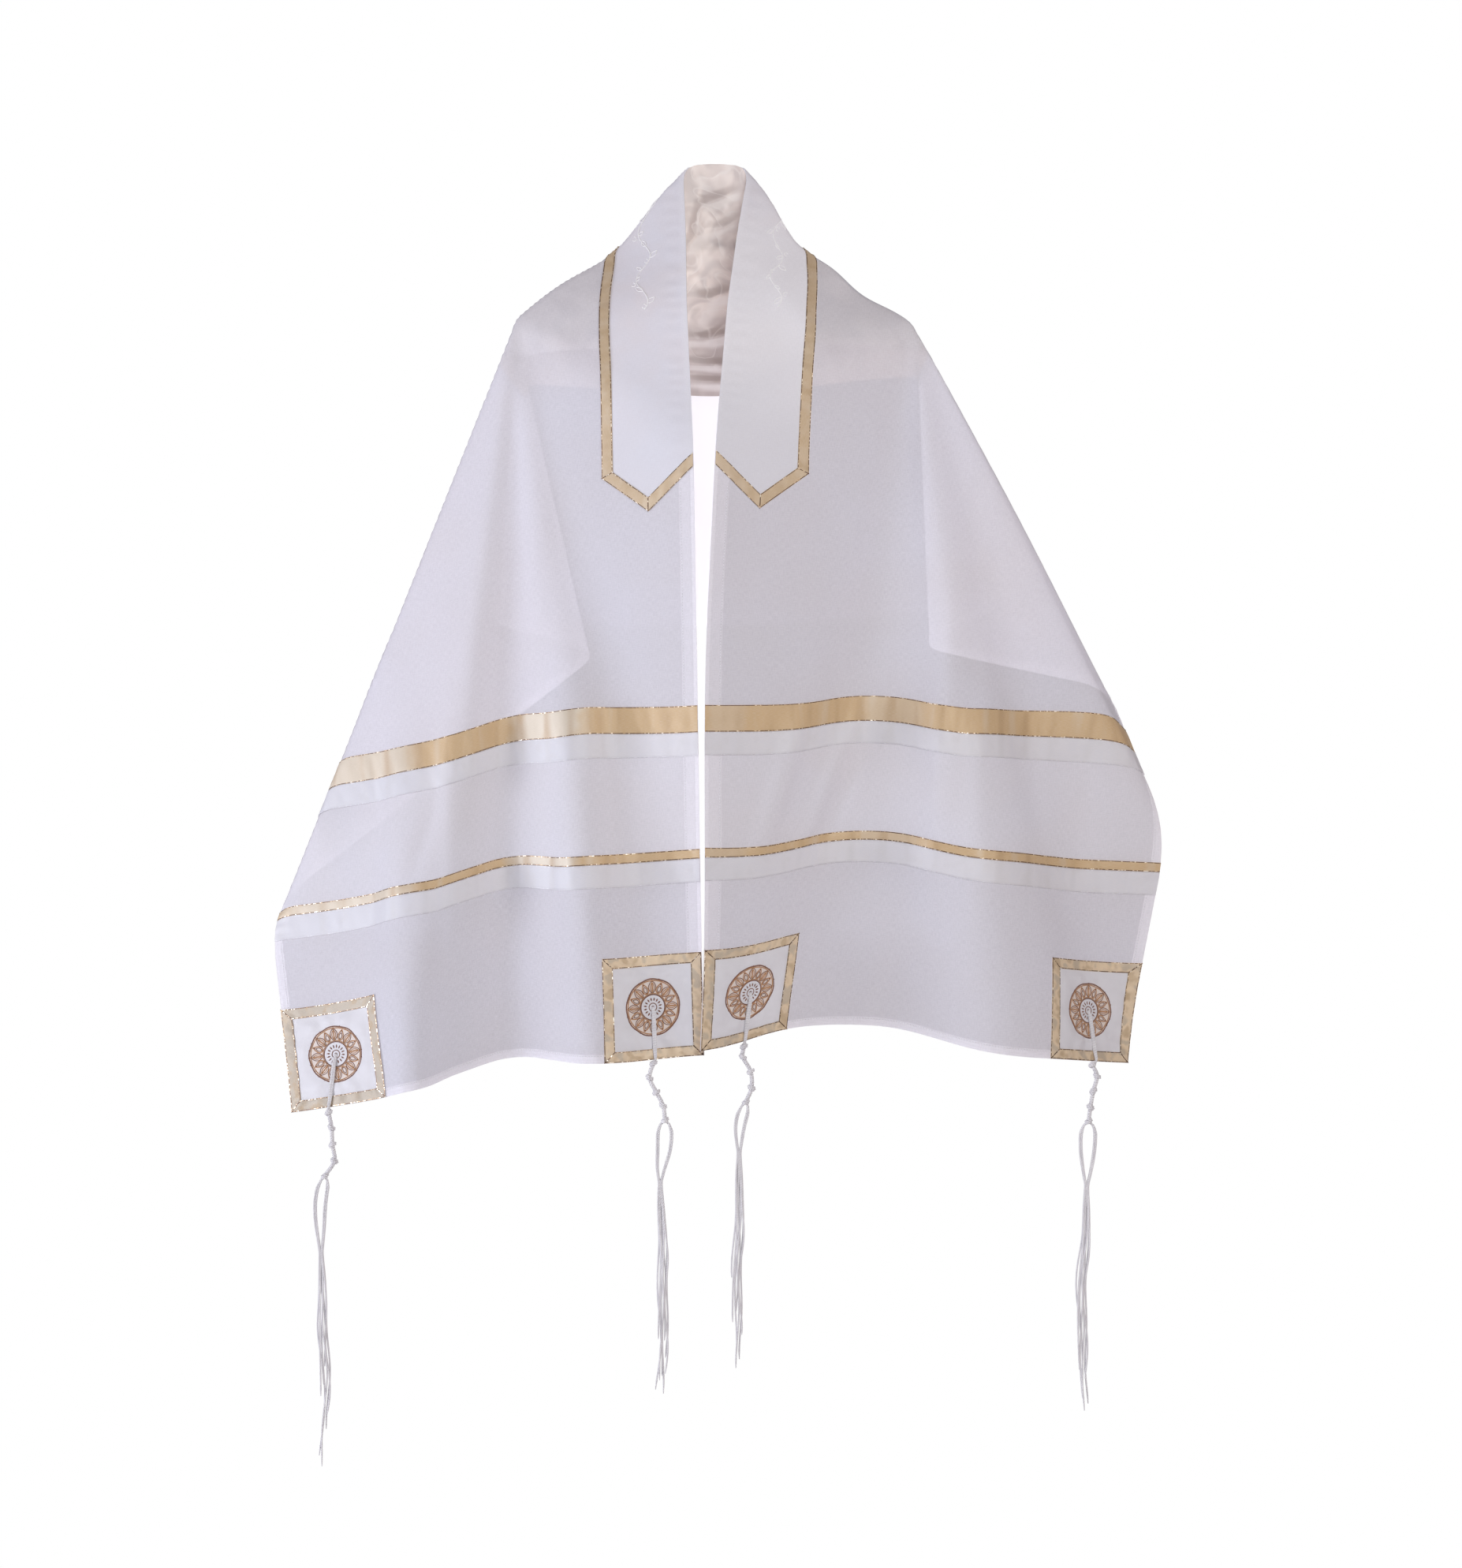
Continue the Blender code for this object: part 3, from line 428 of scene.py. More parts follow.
def tubes(middle, up, half_width, half_height, sides=6, mask=0.0):
    """Closed tubes along many lines at once, lines x steps x 3. The point at turn a is the
    middle plus cos(a) half widths sideways plus sin(a) half heights up; the ends are flat.
    The uv is the share of the turn and the distance along the line."""
    lines, steps, _ = middle.shape
    up = np.broadcast_to(up, middle.shape)
    ahead = np.gradient(middle, axis=1)
    aside = np.cross(ahead, up)
    aside /= np.linalg.norm(aside, axis=-1, keepdims=True)
    lift = np.cross(aside, ahead)
    lift /= np.linalg.norm(lift, axis=-1, keepdims=True)
    turn = 2 * np.pi * np.arange(sides)[:, None] / sides
    wide, high = (
        np.broadcast_to(half, (lines, steps))[..., None, None] for half in (half_width, half_height)
    )
    ring = np.cos(turn) * wide * aside[:, :, None] + np.sin(turn) * high * lift[:, :, None]
    points = (middle[:, :, None] + ring).reshape(-1, 3)
    run = np.linalg.norm(np.diff(middle, axis=1), axis=-1).cumsum(axis=1)
    run = np.concatenate([np.zeros((lines, 1)), run], axis=1)
    ids = np.arange(lines * steps * sides).reshape(lines, steps, sides)
    near, far = ids[:, :-1], ids[:, 1:]
    body = np.stack([near, far, np.roll(far, -1, 2), np.roll(near, -1, 2)], -1)
    share = np.arange(sides) / sides
    share = np.stack([share, share, share + 1 / sides, share + 1 / sides], -1)
    distance = np.stack([run[:, :-1], run[:, 1:], run[:, 1:], run[:, :-1]], -1)[:, :, None]
    body_uv = np.stack(np.broadcast_arrays(share, distance), -1)
    cap = np.array([(0, k, k + 1, k + 2) for k in range(1, sides - 2, 2)])
    start, end = ids[:, 0][:, cap], ids[:, -1][:, cap[:, ::-1]]
    caps = np.concatenate([start.reshape(-1, 4), end.reshape(-1, 4)])
    quads = np.concatenate([body.reshape(-1, 4), caps])
    uv = np.concatenate([body_uv.reshape(-1, 4, 2), np.zeros(caps.shape + (2,))])
    return points, quads, uv, np.full(len(points), float(mask))


def cords_on_cloth(flat, lift, half_width, half_height, sides=6, mask=0.0):
    """Tubes whose middle lines are flat places, lines x steps x 2, held this far off the cloth."""
    place, normal = surface(flat[..., 0], flat[..., 1])
    lift = np.broadcast_to(lift, flat.shape[:2])[..., None]
    return tubes(place + normal * lift, normal, half_width, half_height, sides, mask)


def stitches(start, end, lift, spacing=0.0030, share=0.62, radius=0.00022):
    """A run of short stitches from one flat place to another. Each is a small cord over a
    share of the spacing, which rises in its middle and dips into the cloth at both ends."""
    start, end = np.array(start), np.array(end)
    count = max(1, int(np.hypot(*(end - start)) / spacing))
    way = (np.arange(count)[:, None] + 0.5 + share * np.array([-0.5, 0.0, 0.5])) / count
    flat = start + (end - start) * way[..., None]
    rise = lift + radius * np.array([-0.8, 0.6, -0.8])
    return cords_on_cloth(flat, rise, radius, radius, sides=4)


def polar(middle, radius, turn):
    """Flat places at a radius and a turn round a middle."""
    return middle + np.stack([radius * np.sin(turn), radius * np.cos(turn)], -1)


def even_lines(first, last, pitch):
    """Grid lines between two places, no further apart than the pitch."""
    return np.linspace(first, last, int(np.ceil(abs(last - first) / pitch)) + 1)


def add_object(name, data):
    """Puts a mesh, light or camera into the scene."""
    made = bpy.data.objects.new(name, data)
    bpy.context.scene.collection.objects.link(made)
    return made


def add_piece(name, shape, finish, nodes=(), sharp=CLOTH_SHARP):
    """Makes a shape an object on the root body, in the place of the solids that it stands for."""
    points, quads, uv, mask = shape
    mesh = bpy.data.meshes.new(name)
    mesh.from_pydata(points.tolist(), [], quads.tolist())
    mesh.uv_layers.new(name="cloth").data.foreach_set("uv", uv.astype(np.float32).ravel())
    layer = mesh.attributes.new("mask", "FLOAT", "POINT")
    layer.data.foreach_set("value", mask.astype(np.float32))
    mesh.shade_smooth()
    mesh.set_sharp_from_angle(angle=np.radians(sharp))
    mesh.materials.append(finish)
    piece = add_object(name, mesh)
    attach(piece, "root")
    if nodes:
        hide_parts(*nodes)
    return piece


# ---------------------------------------------------------------- building finishes
# Colours are three numbers. `put` makes them opaque.


def put(tree, kind, inputs=None, **settings):
    """Adds a shader node with its settings, and fills its inputs from values or other nodes."""
    made = tree.nodes.new("ShaderNode" + kind)
    for key, value in settings.items():
        setattr(made, key, value)
    for key, value in (inputs or {}).items():
        if isinstance(value, bpy.types.NodeSocket):
            tree.links.new(value, made.inputs[key])
        else:
            fill(made.inputs[key], value)
    return made


def fill(socket, value):
    """Gives a socket a plain value."""
    socket.default_value = (*value, 1.0) if socket.type == "RGBA" else value


def calc(tree, operation, *values, clamp=False):
    """The result of one sum on numbers or sockets. The four that follow are short for it."""
    return put(tree, "Math", dict(enumerate(values)), operation=operation, use_clamp=clamp).outputs[0]


def plus(tree, first, second):
    return calc(tree, "ADD", first, second)


def minus(tree, first, second):
    return calc(tree, "SUBTRACT", first, second)


def times(tree, first, second):
    return calc(tree, "MULTIPLY", first, second)


def size_of(tree, value):
    return calc(tree, "ABSOLUTE", value)


def mixed(tree, share, first, second):
    """A colour between two, by a share from 0 to 1."""
    inputs = {0: share, 6: first, 7: second}
    return put(tree, "Mix", inputs, data_type="RGBA").outputs[2]


def ramped(tree, value, low, high, to_low=0.0, to_high=1.0):
    """The value moved from one range to another, held at both ends, with a soft start and end."""
    inputs = {0: value, 1: low, 2: high, 3: to_low, 4: to_high}
    return put(tree, "MapRange", inputs, interpolation_type="SMOOTHSTEP").outputs[0]


def tinted(tree, colour, tint, value, low, high, to_low, to_high):
    """The colour moved towards a tint, by the share that `ramped` makes of a value."""
    return mixed(tree, ramped(tree, value, low, high, to_low, to_high), colour, tint)


def noise(tree, place, scale, detail=1.0, bend=0.0):
    """Soft noise from 0 to 1. A scale of three numbers draws it out along an axis."""
    if isinstance(scale, tuple):
        place = put(tree, "Mapping", {"Vector": place, "Scale": scale}).outputs[0]
        scale = 1.0
    inputs = {"Vector": place, "Scale": scale, "Detail": detail, "Distortion": bend}
    return put(tree, "TexNoise", inputs).outputs[0]


def axes_of(tree, place):
    """A place's three numbers."""
    return put(tree, "SeparateXYZ", {0: place}).outputs


def mask_of(tree):
    """The mask of each point of a shape."""
    return put(tree, "Attribute", attribute_name="mask").outputs["Fac"]


def group_tree(name, numbers, results):
    """An empty node group. Its inputs are a place and these numbers, and its outputs are numbers."""
    tree = bpy.data.node_groups.new(name, "ShaderNodeTree")
    tree.interface.new_socket(name="Place", in_out="INPUT", socket_type="NodeSocketVector")
    for label, value in numbers.items():
        socket = tree.interface.new_socket(name=label, in_out="INPUT", socket_type="NodeSocketFloat")
        socket.default_value = value
    for label in results:
        tree.interface.new_socket(name=label, in_out="OUTPUT", socket_type="NodeSocketFloat")
    return tree, tree.nodes.new("NodeGroupInput").outputs, tree.nodes.new("NodeGroupOutput").inputs


def weave_group():
    """Plain weave. Height is the higher of two thread waves, |sin(pi * across / pitch)| and the
    same along, pushed up and down by uneven spinning. Slub is that unevenness, 0 to 1: the
    mean of two noises, each drawn out along one set of threads."""
    numbers = {"Pitch": 0.0006, "Uneven": 0.5}
    tree, given, result = group_tree("woven threads", numbers, ("Height", "Slub"))
    axes = axes_of(tree, given["Place"])
    waves = []
    for axis in (0, 1):
        turn = times(tree, calc(tree, "DIVIDE", axes[axis], given["Pitch"]), np.pi)
        waves.append(size_of(tree, calc(tree, "SINE", turn)))
    threads = calc(tree, "MAXIMUM", *waves)
    stretches = ((1600.0, 180.0, 1.0), (180.0, 1600.0, 1.0))
    slubs = [noise(tree, given["Place"], stretch, 2.0) for stretch in stretches]
    slub = times(tree, plus(tree, *slubs), 0.5)
    uneven = times(tree, minus(tree, slub, 0.5), given["Uneven"])
    tree.links.new(plus(tree, threads, uneven), result["Height"])
    tree.links.new(slub, result["Slub"])
    return tree


def mottle_group():
    """Soft uneven tone, 0 to 1, from two sizes of noise, the second a third of the first."""
    numbers = {"Size": 0.05, "Contrast": 1.0}
    tree, given, result = group_tree("soft unevenness", numbers, ("Tone",))
    scale = calc(tree, "DIVIDE", 1.0, given["Size"])
    coarse, fine = (noise(tree, given["Place"], times(tree, scale, share)) for share in (1.0, 3.0))
    tone = plus(tree, times(tree, coarse, 0.65), times(tree, fine, 0.35))
    spread = times(tree, minus(tree, tone, 0.5), given["Contrast"])
    tree.links.new(calc(tree, "ADD", spread, 0.5, clamp=True), result["Tone"])
    return tree


def hem_group():
    """How dense a hem makes the cloth, softly ended: 0.45 across the wide hem at the front
    edge, 0.9 across the narrow ones, and 1 in the rolled 4 mm at any edge. Stitch is a narrow
    line that is 1 where the hem is sewn down."""
    tree, given, result = group_tree("doubled hem", {}, ("Doubled", "Stitch"))
    axes = axes_of(tree, given["Place"])
    from_side = minus(tree, CLOTH_WIDTH, axes[0])
    from_end = minus(tree, CLOTH_HALF, size_of(tree, axes[1]))
    from_edge = calc(tree, "MINIMUM", from_side, from_end)
    past_front = minus(tree, axes[0], HEM_FRONT)
    past_side = minus(tree, from_edge, HEM_SIDE)
    wide = ramped(tree, past_front, -0.0005, 0.0005, 0.45, 0.0)
    narrow = ramped(tree, past_side, -0.0005, 0.0005, 0.9, 0.0)
    doubled = calc(tree, "MAXIMUM", wide, narrow)
    rolled = ramped(tree, calc(tree, "MINIMUM", axes[0], from_edge), 0.0025, 0.0050, 1.0, 0.0)
    tree.links.new(calc(tree, "MAXIMUM", doubled, rolled), result["Doubled"])
    past = calc(tree, "MINIMUM", past_front, past_side)
    near = size_of(tree, plus(tree, past, 0.0008))
    tree.links.new(ramped(tree, near, 0.0002, 0.0008, 1.0, 0.0), result["Stitch"])
    return tree


def twist_group():
    """Plied thread: slanting ridges, |sin(pi * (plies * turn + distance / lay))|."""
    tree, given, result = group_tree("plied thread", {"Lay": 0.003, "Plies": 2.0}, ("Height",))
    axes = axes_of(tree, given["Place"])
    turns = times(tree, axes[0], given["Plies"])
    way = plus(tree, turns, calc(tree, "DIVIDE", axes[1], given["Lay"]))
    ridge = size_of(tree, calc(tree, "SINE", times(tree, way, np.pi)))
    tree.links.new(ridge, result["Height"])
    return tree


WEAVE = weave_group()
MOTTLE = mottle_group()
HEM = hem_group()
TWIST = twist_group()

WHITE = (1.0, 1.0, 1.0)

# Painted shade: what lies behind sheer cloth is painted this dark where it is seen through it. The
# cloth of the back is painted darker towards that shade too, by the first share in its middle and by
# the second at its sides.
PAINTED_SHADE_BEHIND_CLOTH = (0.23, 0.22, 0.24)
PAINTED_SHADE_MIDDLE, PAINTED_SHADE_SIDES = 0.85, 0.15

# Where ribbon satin gets a painted sheen. Columns: middle and half width along X, and strength
PAINTED_SHEENS = (
    ("far left", -0.395, 0.085, 0.90),
    ("left fold", -0.176, 0.042, 1.00),
    ("front edges", 0.014, 0.022, 0.30),
    ("right fold", 0.190, 0.030, 0.35),
)

# How deep a weave is pressed into a surface, and how strongly it shows
WEAVE_DEPTH, WEAVE_STRENGTH = 0.00008, 0.6


def placed(tree, group, place, **values):
    """A node group with its place and its own values; gives its outputs."""
    made = tree.nodes.new("ShaderNodeGroup")
    made.node_tree = group
    tree.links.new(place, made.inputs["Place"])
    for label, value in values.items():
        made.inputs[label].default_value = value
    return made.outputs


def new_finish(name, **plain):
    """A material with its Principled shader set to plain values, and where its patterns are."""
    finish = bpy.data.materials.new(name)
    finish.use_nodes = True
    tree = finish.node_tree
    shader = tree.nodes["Principled BSDF"]
    for label, value in plain.items():
        fill(shader.inputs[label.replace("_", " ")], value)
    return finish, tree, shader, put(tree, "TexCoord").outputs


def bumped(tree, shader, height, depth=WEAVE_DEPTH, strength=WEAVE_STRENGTH):
    """Feeds a height, in units of the depth in metres, to the shader's normal."""
    inputs = {"Height": height, "Distance": depth, "Strength": strength}
    tree.links.new(put(tree, "Bump", inputs).outputs[0], shader.inputs["Normal"])


def let_light_through(finish, share, glow=None, colour=WHITE):
    """Mixes a clear shader in for rays from lamps alone, so that the cloth lets this share of
    their light through each of its faces. "glow" is the share of a shader that is lit from its
    far side, as thin cloth is."""
    tree = finish.node_tree
    shader, output = tree.nodes["Principled BSDF"], tree.nodes["Material Output"]
    is_lamp = put(tree, "LightPath").outputs["Is Shadow Ray"]
    clear = put(tree, "BsdfTransparent").outputs[0]
    face = shader.outputs[0]
    if glow is not None:
        lit_through = put(tree, "BsdfTranslucent", {"Color": colour}).outputs[0]
        face = put(tree, "MixShader", {0: glow, 1: face, 2: lit_through}).outputs[0]
    both = put(tree, "MixShader", {0: times(tree, is_lamp, share), 1: face, 2: clear})
    tree.links.new(both.outputs[0], output.inputs["Surface"])


def voile(name, light, shade, open_share, hem_share):
    """Sheer woven cloth, denser where a hem doubles it. Tone drifts between two colours.

    A face is seen from the hollow side when it is the inner face from its front or the outer
    face from its back. There painted shade dims the cloth behind other cloth, most of all over
    the middle of the back. The centre line of the back, which shows between the fronts, is close
    and is painted white, opaque and glowing where it is looked at directly, a painted light.
    """
    finish, tree, shader, where = new_finish(
        name, Roughness=0.62, Sheen_Weight=0.2, Sheen_Roughness=0.45, Specular_IOR_Level=0.25
    )
    threads = placed(tree, WEAVE, where["UV"], Pitch=0.0007, Uneven=0.5)
    hem = placed(tree, HEM, where["UV"])
    tone = placed(tree, MOTTLE, where["Object"], Size=0.22, Contrast=1.6)["Tone"]
    colour = mixed(tree, tone, shade, light)
    colour = mixed(tree, times(tree, hem["Doubled"], 0.6), colour, (0.90, 0.87, 0.92))

    behind = put(tree, "NewGeometry").outputs["Backfacing"]
    hollow = size_of(tree, minus(tree, mask_of(tree), behind))
    path = put(tree, "LightPath").outputs
    covered = calc(tree, "MINIMUM", path["Transparent Depth"], 1.0)
    along = size_of(tree, axes_of(tree, where["UV"])[1])
    centre_back = ramped(tree, along, 0.025, 0.060, 1.0, 0.0)
    # Painted light: the centre back seen directly between the fronts is painted white, opaque and glowing
    painted_gap_light = times(tree, minus(tree, 1.0, covered), path["Is Camera Ray"])
    painted_gap_light = times(tree, times(tree, hollow, painted_gap_light), centre_back)
    # Painted shade: the hollow side is dimmed behind other cloth, most over the middle of the back
    middle = ramped(tree, along, 0.225, 0.275, PAINTED_SHADE_MIDDLE, PAINTED_SHADE_SIDES)
    painted_back_shade = times(tree, times(tree, hollow, covered), middle)
    colour = mixed(tree, painted_back_shade, colour, PAINTED_SHADE_BEHIND_CLOTH)
    tree.links.new(mixed(tree, painted_gap_light, colour, WHITE), shader.inputs["Base Color"])

    slub = ramped(tree, threads["Slub"], 0.35, 0.65, -0.04, 0.04)
    alpha = plus(tree, 1.0 - open_share, slub)
    alpha = plus(tree, alpha, times(tree, hem["Doubled"], open_share - hem_share))
    tree.links.new(calc(tree, "ADD", alpha, painted_gap_light, clamp=True), shader.inputs["Alpha"])
    bumped(tree, shader, minus(tree, threads["Height"], times(tree, hem["Stitch"], 1.5)))
    let_light_through(finish, share=0.78, glow=painted_gap_light)
    return finish


def neckband_cloth():
    """Closely woven cloth that nothing shows through, paler in the roll at its front edge, with
    painted light that makes its right half paler, painted shade that makes it a little deeper
    towards its ends, and darker in its slubs."""
    finish, tree, shader, where = new_finish(
        "neckband cloth", Roughness=0.55, Sheen_Weight=0.2, Sheen_Roughness=0.4, Specular_IOR_Level=0.3
    )
    threads = placed(tree, WEAVE, where["UV"], Pitch=0.0006, Uneven=0.8)
    tone = placed(tree, MOTTLE, where["Object"], Size=0.07, Contrast=2.4)["Tone"]
    across, along, _ = axes_of(tree, where["UV"])
    colour = mixed(tree, tone, (0.82, 0.77, 0.81), (0.82, 0.81, 0.89))
    colour = tinted(tree, colour, (0.90, 0.88, 0.93), across, 0.0010, 0.0090, 0.6, 0.0)
    # Painted light: paler on the right half
    colour = tinted(tree, colour, (0.97, 0.95, 0.99), along, 0.04, 0.14, 0.0, 0.8)
    # Painted shade: a little deeper towards the ends
    from_back = size_of(tree, along)
    colour = tinted(tree, colour, (0.72, 0.71, 0.77), from_back, 0.24, 0.38, 0.0, 0.75)
    colour = tinted(tree, colour, (0.55, 0.52, 0.56), threads["Slub"], 0.40, 0.62, 0.12, 0.0)
    tree.links.new(colour, shader.inputs["Base Color"])
    bumped(tree, shader, threads["Height"])
    let_light_through(finish, share=0.80)
    return finish


def ribbon_satin(name, light, shade, deep, edge_thread, metal, roughness, painted_pucker_shade):
    """Satin ribbon, woven with fine lengthwise lines, with a thread along each edge.

    Its colour has painted light and shade: a painted sheen in the stretches that the table of
    sheens places along X, and painted highlight or deep painted shade in short bands between small
    ripples. Its last share adds round blotches of painted highlight and painted shade, as where a
    narrow edging puckers. The mask picks the edge thread, which comes in short dashes of its dark
    and middling colours with painted glints in its bright one, and is metallic if the ribbon has any metal.
    """
    finish, tree, shader, where = new_finish(name, Specular_IOR_Level=0.45, Sheen_Weight=0.05)
    drift = placed(tree, MOTTLE, where["Object"], Size=0.05, Contrast=1.0)["Tone"]
    x = axes_of(tree, where["Object"])[0]
    x = plus(tree, x, times(tree, minus(tree, drift, 0.5), 0.05))
    # Painted sheen: the light colour where the sheens table places it along X
    painted_sheen = 0.0
    for _, middle, half_width, strength in PAINTED_SHEENS:
        away = size_of(tree, minus(tree, x, middle))
        sheen = ramped(tree, away, half_width * 0.6, half_width * 1.15, strength, 0.0)
        painted_sheen = plus(tree, painted_sheen, sheen)
    colour = mixed(tree, painted_sheen, shade, light)
    # Painted highlight and painted shade in short bands between small ripples
    band = noise(tree, where["UV"], (8.0, 48.0, 1.0), 1.5)
    colour = tinted(tree, colour, deep, band, 0.50, 0.72, 0.0, 0.60)
    colour = tinted(tree, colour, light, band, 0.30, 0.46, 0.30, 0.0)
    # Painted highlight and painted shade in round spots, as where a narrow edging puckers
    if painted_pucker_shade:
        spot = noise(tree, where["Object"], 75.0, 1.5)
        colour = tinted(tree, colour, light, spot, 0.50, 0.64, 0.0, painted_pucker_shade)
        colour = tinted(tree, colour, deep, spot, 0.34, 0.46, painted_pucker_shade, 0.0)
    grain = noise(tree, where["UV"], (3200.0, 260.0, 1.0))
    colour = tinted(tree, colour, (1.0, 0.97, 0.92), grain, 0.35, 0.75, 0.0, 0.10)

    edge = mask_of(tree)
    # Dashes of the thread's dark and middling colours, with painted glints in its bright one
    dash = noise(tree, where["Object"], 420.0)
    dark, middling, bright = edge_thread
    thread = mixed(tree, ramped(tree, dash, 0.50, 0.56), dark, middling)
    thread = mixed(tree, ramped(tree, dash, 0.60, 0.64), thread, bright)
    tree.links.new(mixed(tree, edge, colour, thread), shader.inputs["Base Color"])
    rough = plus(tree, roughness, times(tree, grain, 0.12))
    rough = minus(tree, rough, times(tree, edge, 0.15))
    tree.links.new(rough, shader.inputs["Roughness"])
    edge_metal = 0.7 if metal else 0.1
    shine = plus(tree, metal, times(tree, edge, edge_metal))
    tree.links.new(shine, shader.inputs["Metallic"])
    bumped(tree, shader, grain, depth=0.00006, strength=0.5)
    return finish


def lining_finish():
    """Crumpled ivory satin with painted light and shade: peach and grey in soft patches of painted
    shade and greyer low down with painted shade, a painted highlight where a wrinkle faces up and
    grey-brown painted shade where it faces down, as the mask says from 1 to 0. A bent noise adds
    small soft folds, with painted highlights where it crosses its middle value."""
    finish, tree, shader, where = new_finish(
        "lining satin", Roughness=0.34, Specular_IOR_Level=0.6, Sheen_Weight=0.2, Sheen_Roughness=0.3
    )
    # Painted shade: grey soft patches between peach ones
    patches = ramped(tree, noise(tree, where["Object"], 34.0, 1.5, 1.2), 0.34, 0.64)
    colour = mixed(tree, patches, (0.69, 0.61, 0.585), (0.90, 0.81, 0.765))
    down = axes_of(tree, where["UV"])[0]
    # Painted shade: greyer low down
    colour = tinted(tree, colour, (0.47, 0.39, 0.37), down, 0.13, 0.235, 0.0, 0.60)
    # Painted shade where a wrinkle faces down, and a painted highlight where it faces up
    facing = mask_of(tree)
    shaded = ramped(tree, facing, 0.20, 0.47, 1.0, 0.0)
    shaded = times(tree, shaded, ramped(tree, down, 0.08, 0.17, 0.30, 0.75))
    colour = mixed(tree, shaded, colour, (0.42, 0.34, 0.32))
    colour = tinted(tree, colour, (0.98, 0.93, 0.90), facing, 0.54, 0.85, 0.0, 0.65)
    # Painted highlights along thin folds
    folds = size_of(tree, minus(tree, noise(tree, where["Object"], 17.0, 1.0, 1.6), 0.5))
    colour = tinted(tree, colour, (0.96, 0.91, 0.88), folds, 0.0, 0.030, 0.35, 0.0)
    tree.links.new(colour, shader.inputs["Base Color"])
    grain = noise(tree, where["UV"], (120.0, 2400.0, 1.0))
    bumped(tree, shader, minus(tree, grain, times(tree, folds, 40.0)), depth=0.0002)
    let_light_through(finish, share=0.60, glow=0.15, colour=(0.92, 0.86, 0.83))
    return finish


def thread_finish(name, light, shade, lay, roughness, groove_shade, glow):
    """Plied or stranded thread with painted shade in the grooves between its plies, and perhaps a faint
    painted glow.
    """
    # The emission is a painted glow on the thread
    finish, tree, shader, where = new_finish(
        name, Roughness=roughness, Sheen_Weight=0.2, Emission_Color=light, Emission_Strength=glow
    )
    ridge = placed(tree, TWIST, where["UV"], Lay=lay, Plies=2.0)["Height"]
    tone = placed(tree, MOTTLE, where["Object"], Size=0.012, Contrast=2.0)["Tone"]
    colour = mixed(tree, tone, shade, light)
    # Painted shade: darker in the grooves between the plies
    darker = tuple(0.55 * part for part in shade)
    colour = tinted(tree, colour, darker, ridge, 0.0, 0.55, groove_shade, 0.0)
    tree.links.new(colour, shader.inputs["Base Color"])
    bumped(tree, shader, ridge, depth=0.00018, strength=0.8)
    return finish


def patch_finish():
    """White patch cloth, with a warm tint under the ring of embroidery round its middle, and
    painted dark in the eyelet, a painted shade that stands in for the hole."""
    finish, tree, shader, where = new_finish(
        "patch cloth", Roughness=0.5, Sheen_Weight=0.08, Specular_IOR_Level=0.3
    )
    threads = placed(tree, WEAVE, where["UV"], Pitch=0.0005, Uneven=0.6)
    tone = placed(tree, MOTTLE, where["Object"], Size=0.03, Contrast=1.6)["Tone"]
    colour = mixed(tree, tone, (0.70, 0.68, 0.715), (0.79, 0.775, 0.815))
    radius = put(tree, "VectorMath", {0: where["UV"]}, operation="LENGTH").outputs["Value"]
    soft = 0.0006
    past_inner = ramped(tree, radius, RING_INNER - soft, RING_INNER + soft)
    inside_outer = ramped(tree, radius, RING_OUTER - soft, RING_OUTER + soft, 1.0, 0.0)
    ring = times(tree, past_inner, inside_outer)
    colour = mixed(tree, times(tree, ring, 0.8), colour, (0.76, 0.65, 0.58))
    # Painted shade: dark in the eyelet, where the hole is
    colour = tinted(tree, colour, (0.20, 0.13, 0.12), radius, EYELET * 0.45, EYELET * 0.62, 0.85, 0.0)
    tree.links.new(colour, shader.inputs["Base Color"])
    bumped(tree, shader, threads["Height"], depth=0.00007)
    return finish


# ---------------------------------------------------------------- ribbons and edgings
def ribbon_strip(near_edge, far_edge, layer, thread_inset=0.0006, pucker=0.00035):
    """A flat ribbon between two edges, each a pair of flat places, with its two edge threads.

    The grid mixes the edges' points. The ribbon's outer and inner face both ripple by
    pucker * (1 + sin(phase)) / 2, where the phase drifts along the ribbon.
    """
    near, far = np.array(near_edge, float), np.array(far_edge, float)
    length = max(np.hypot(*(edge[1] - edge[0])) for edge in (near, far))
    width = np.hypot(*(far.mean(0) - near.mean(0)))
    way = even_lines(0.0, 1.0, RIBBON_PITCH / length)[:, None, None]
    inset = thread_inset / width
    between = even_lines(inset, 1 - inset, RIBBON_PITCH / width)
    side = np.concatenate([[0.0], between, [1.0]])
    flat = (near[0] * (1 - way) + near[1] * way) * (1 - side[:, None])
    flat = flat + (far[0] * (1 - way) + far[1] * way) * side[:, None]
    run = way[:, :, 0] * length + 0 * side
    phase = drifting(run, 0.019, (2.1, 47.0), (1.3, 118.0)) + 1.2 * side
    wave = pucker * (1 + np.sin(phase)) / 2 * np.sin(np.pi * side) ** 0.5
    uv = np.stack([side * width + 0 * way[:, :, 0], run], -1)
    shapes = [wall(flat[..., 0], flat[..., 1], layer[0] + wave, layer[1] + wave, uv)]
    for column in (1, -2):
        lift = layer[1] + wave[:, column] + 0.00005
        shapes.append(cords_on_cloth(flat[None, :, column], lift[None], *EDGE_THREAD, mask=1.0))
    return join(shapes)


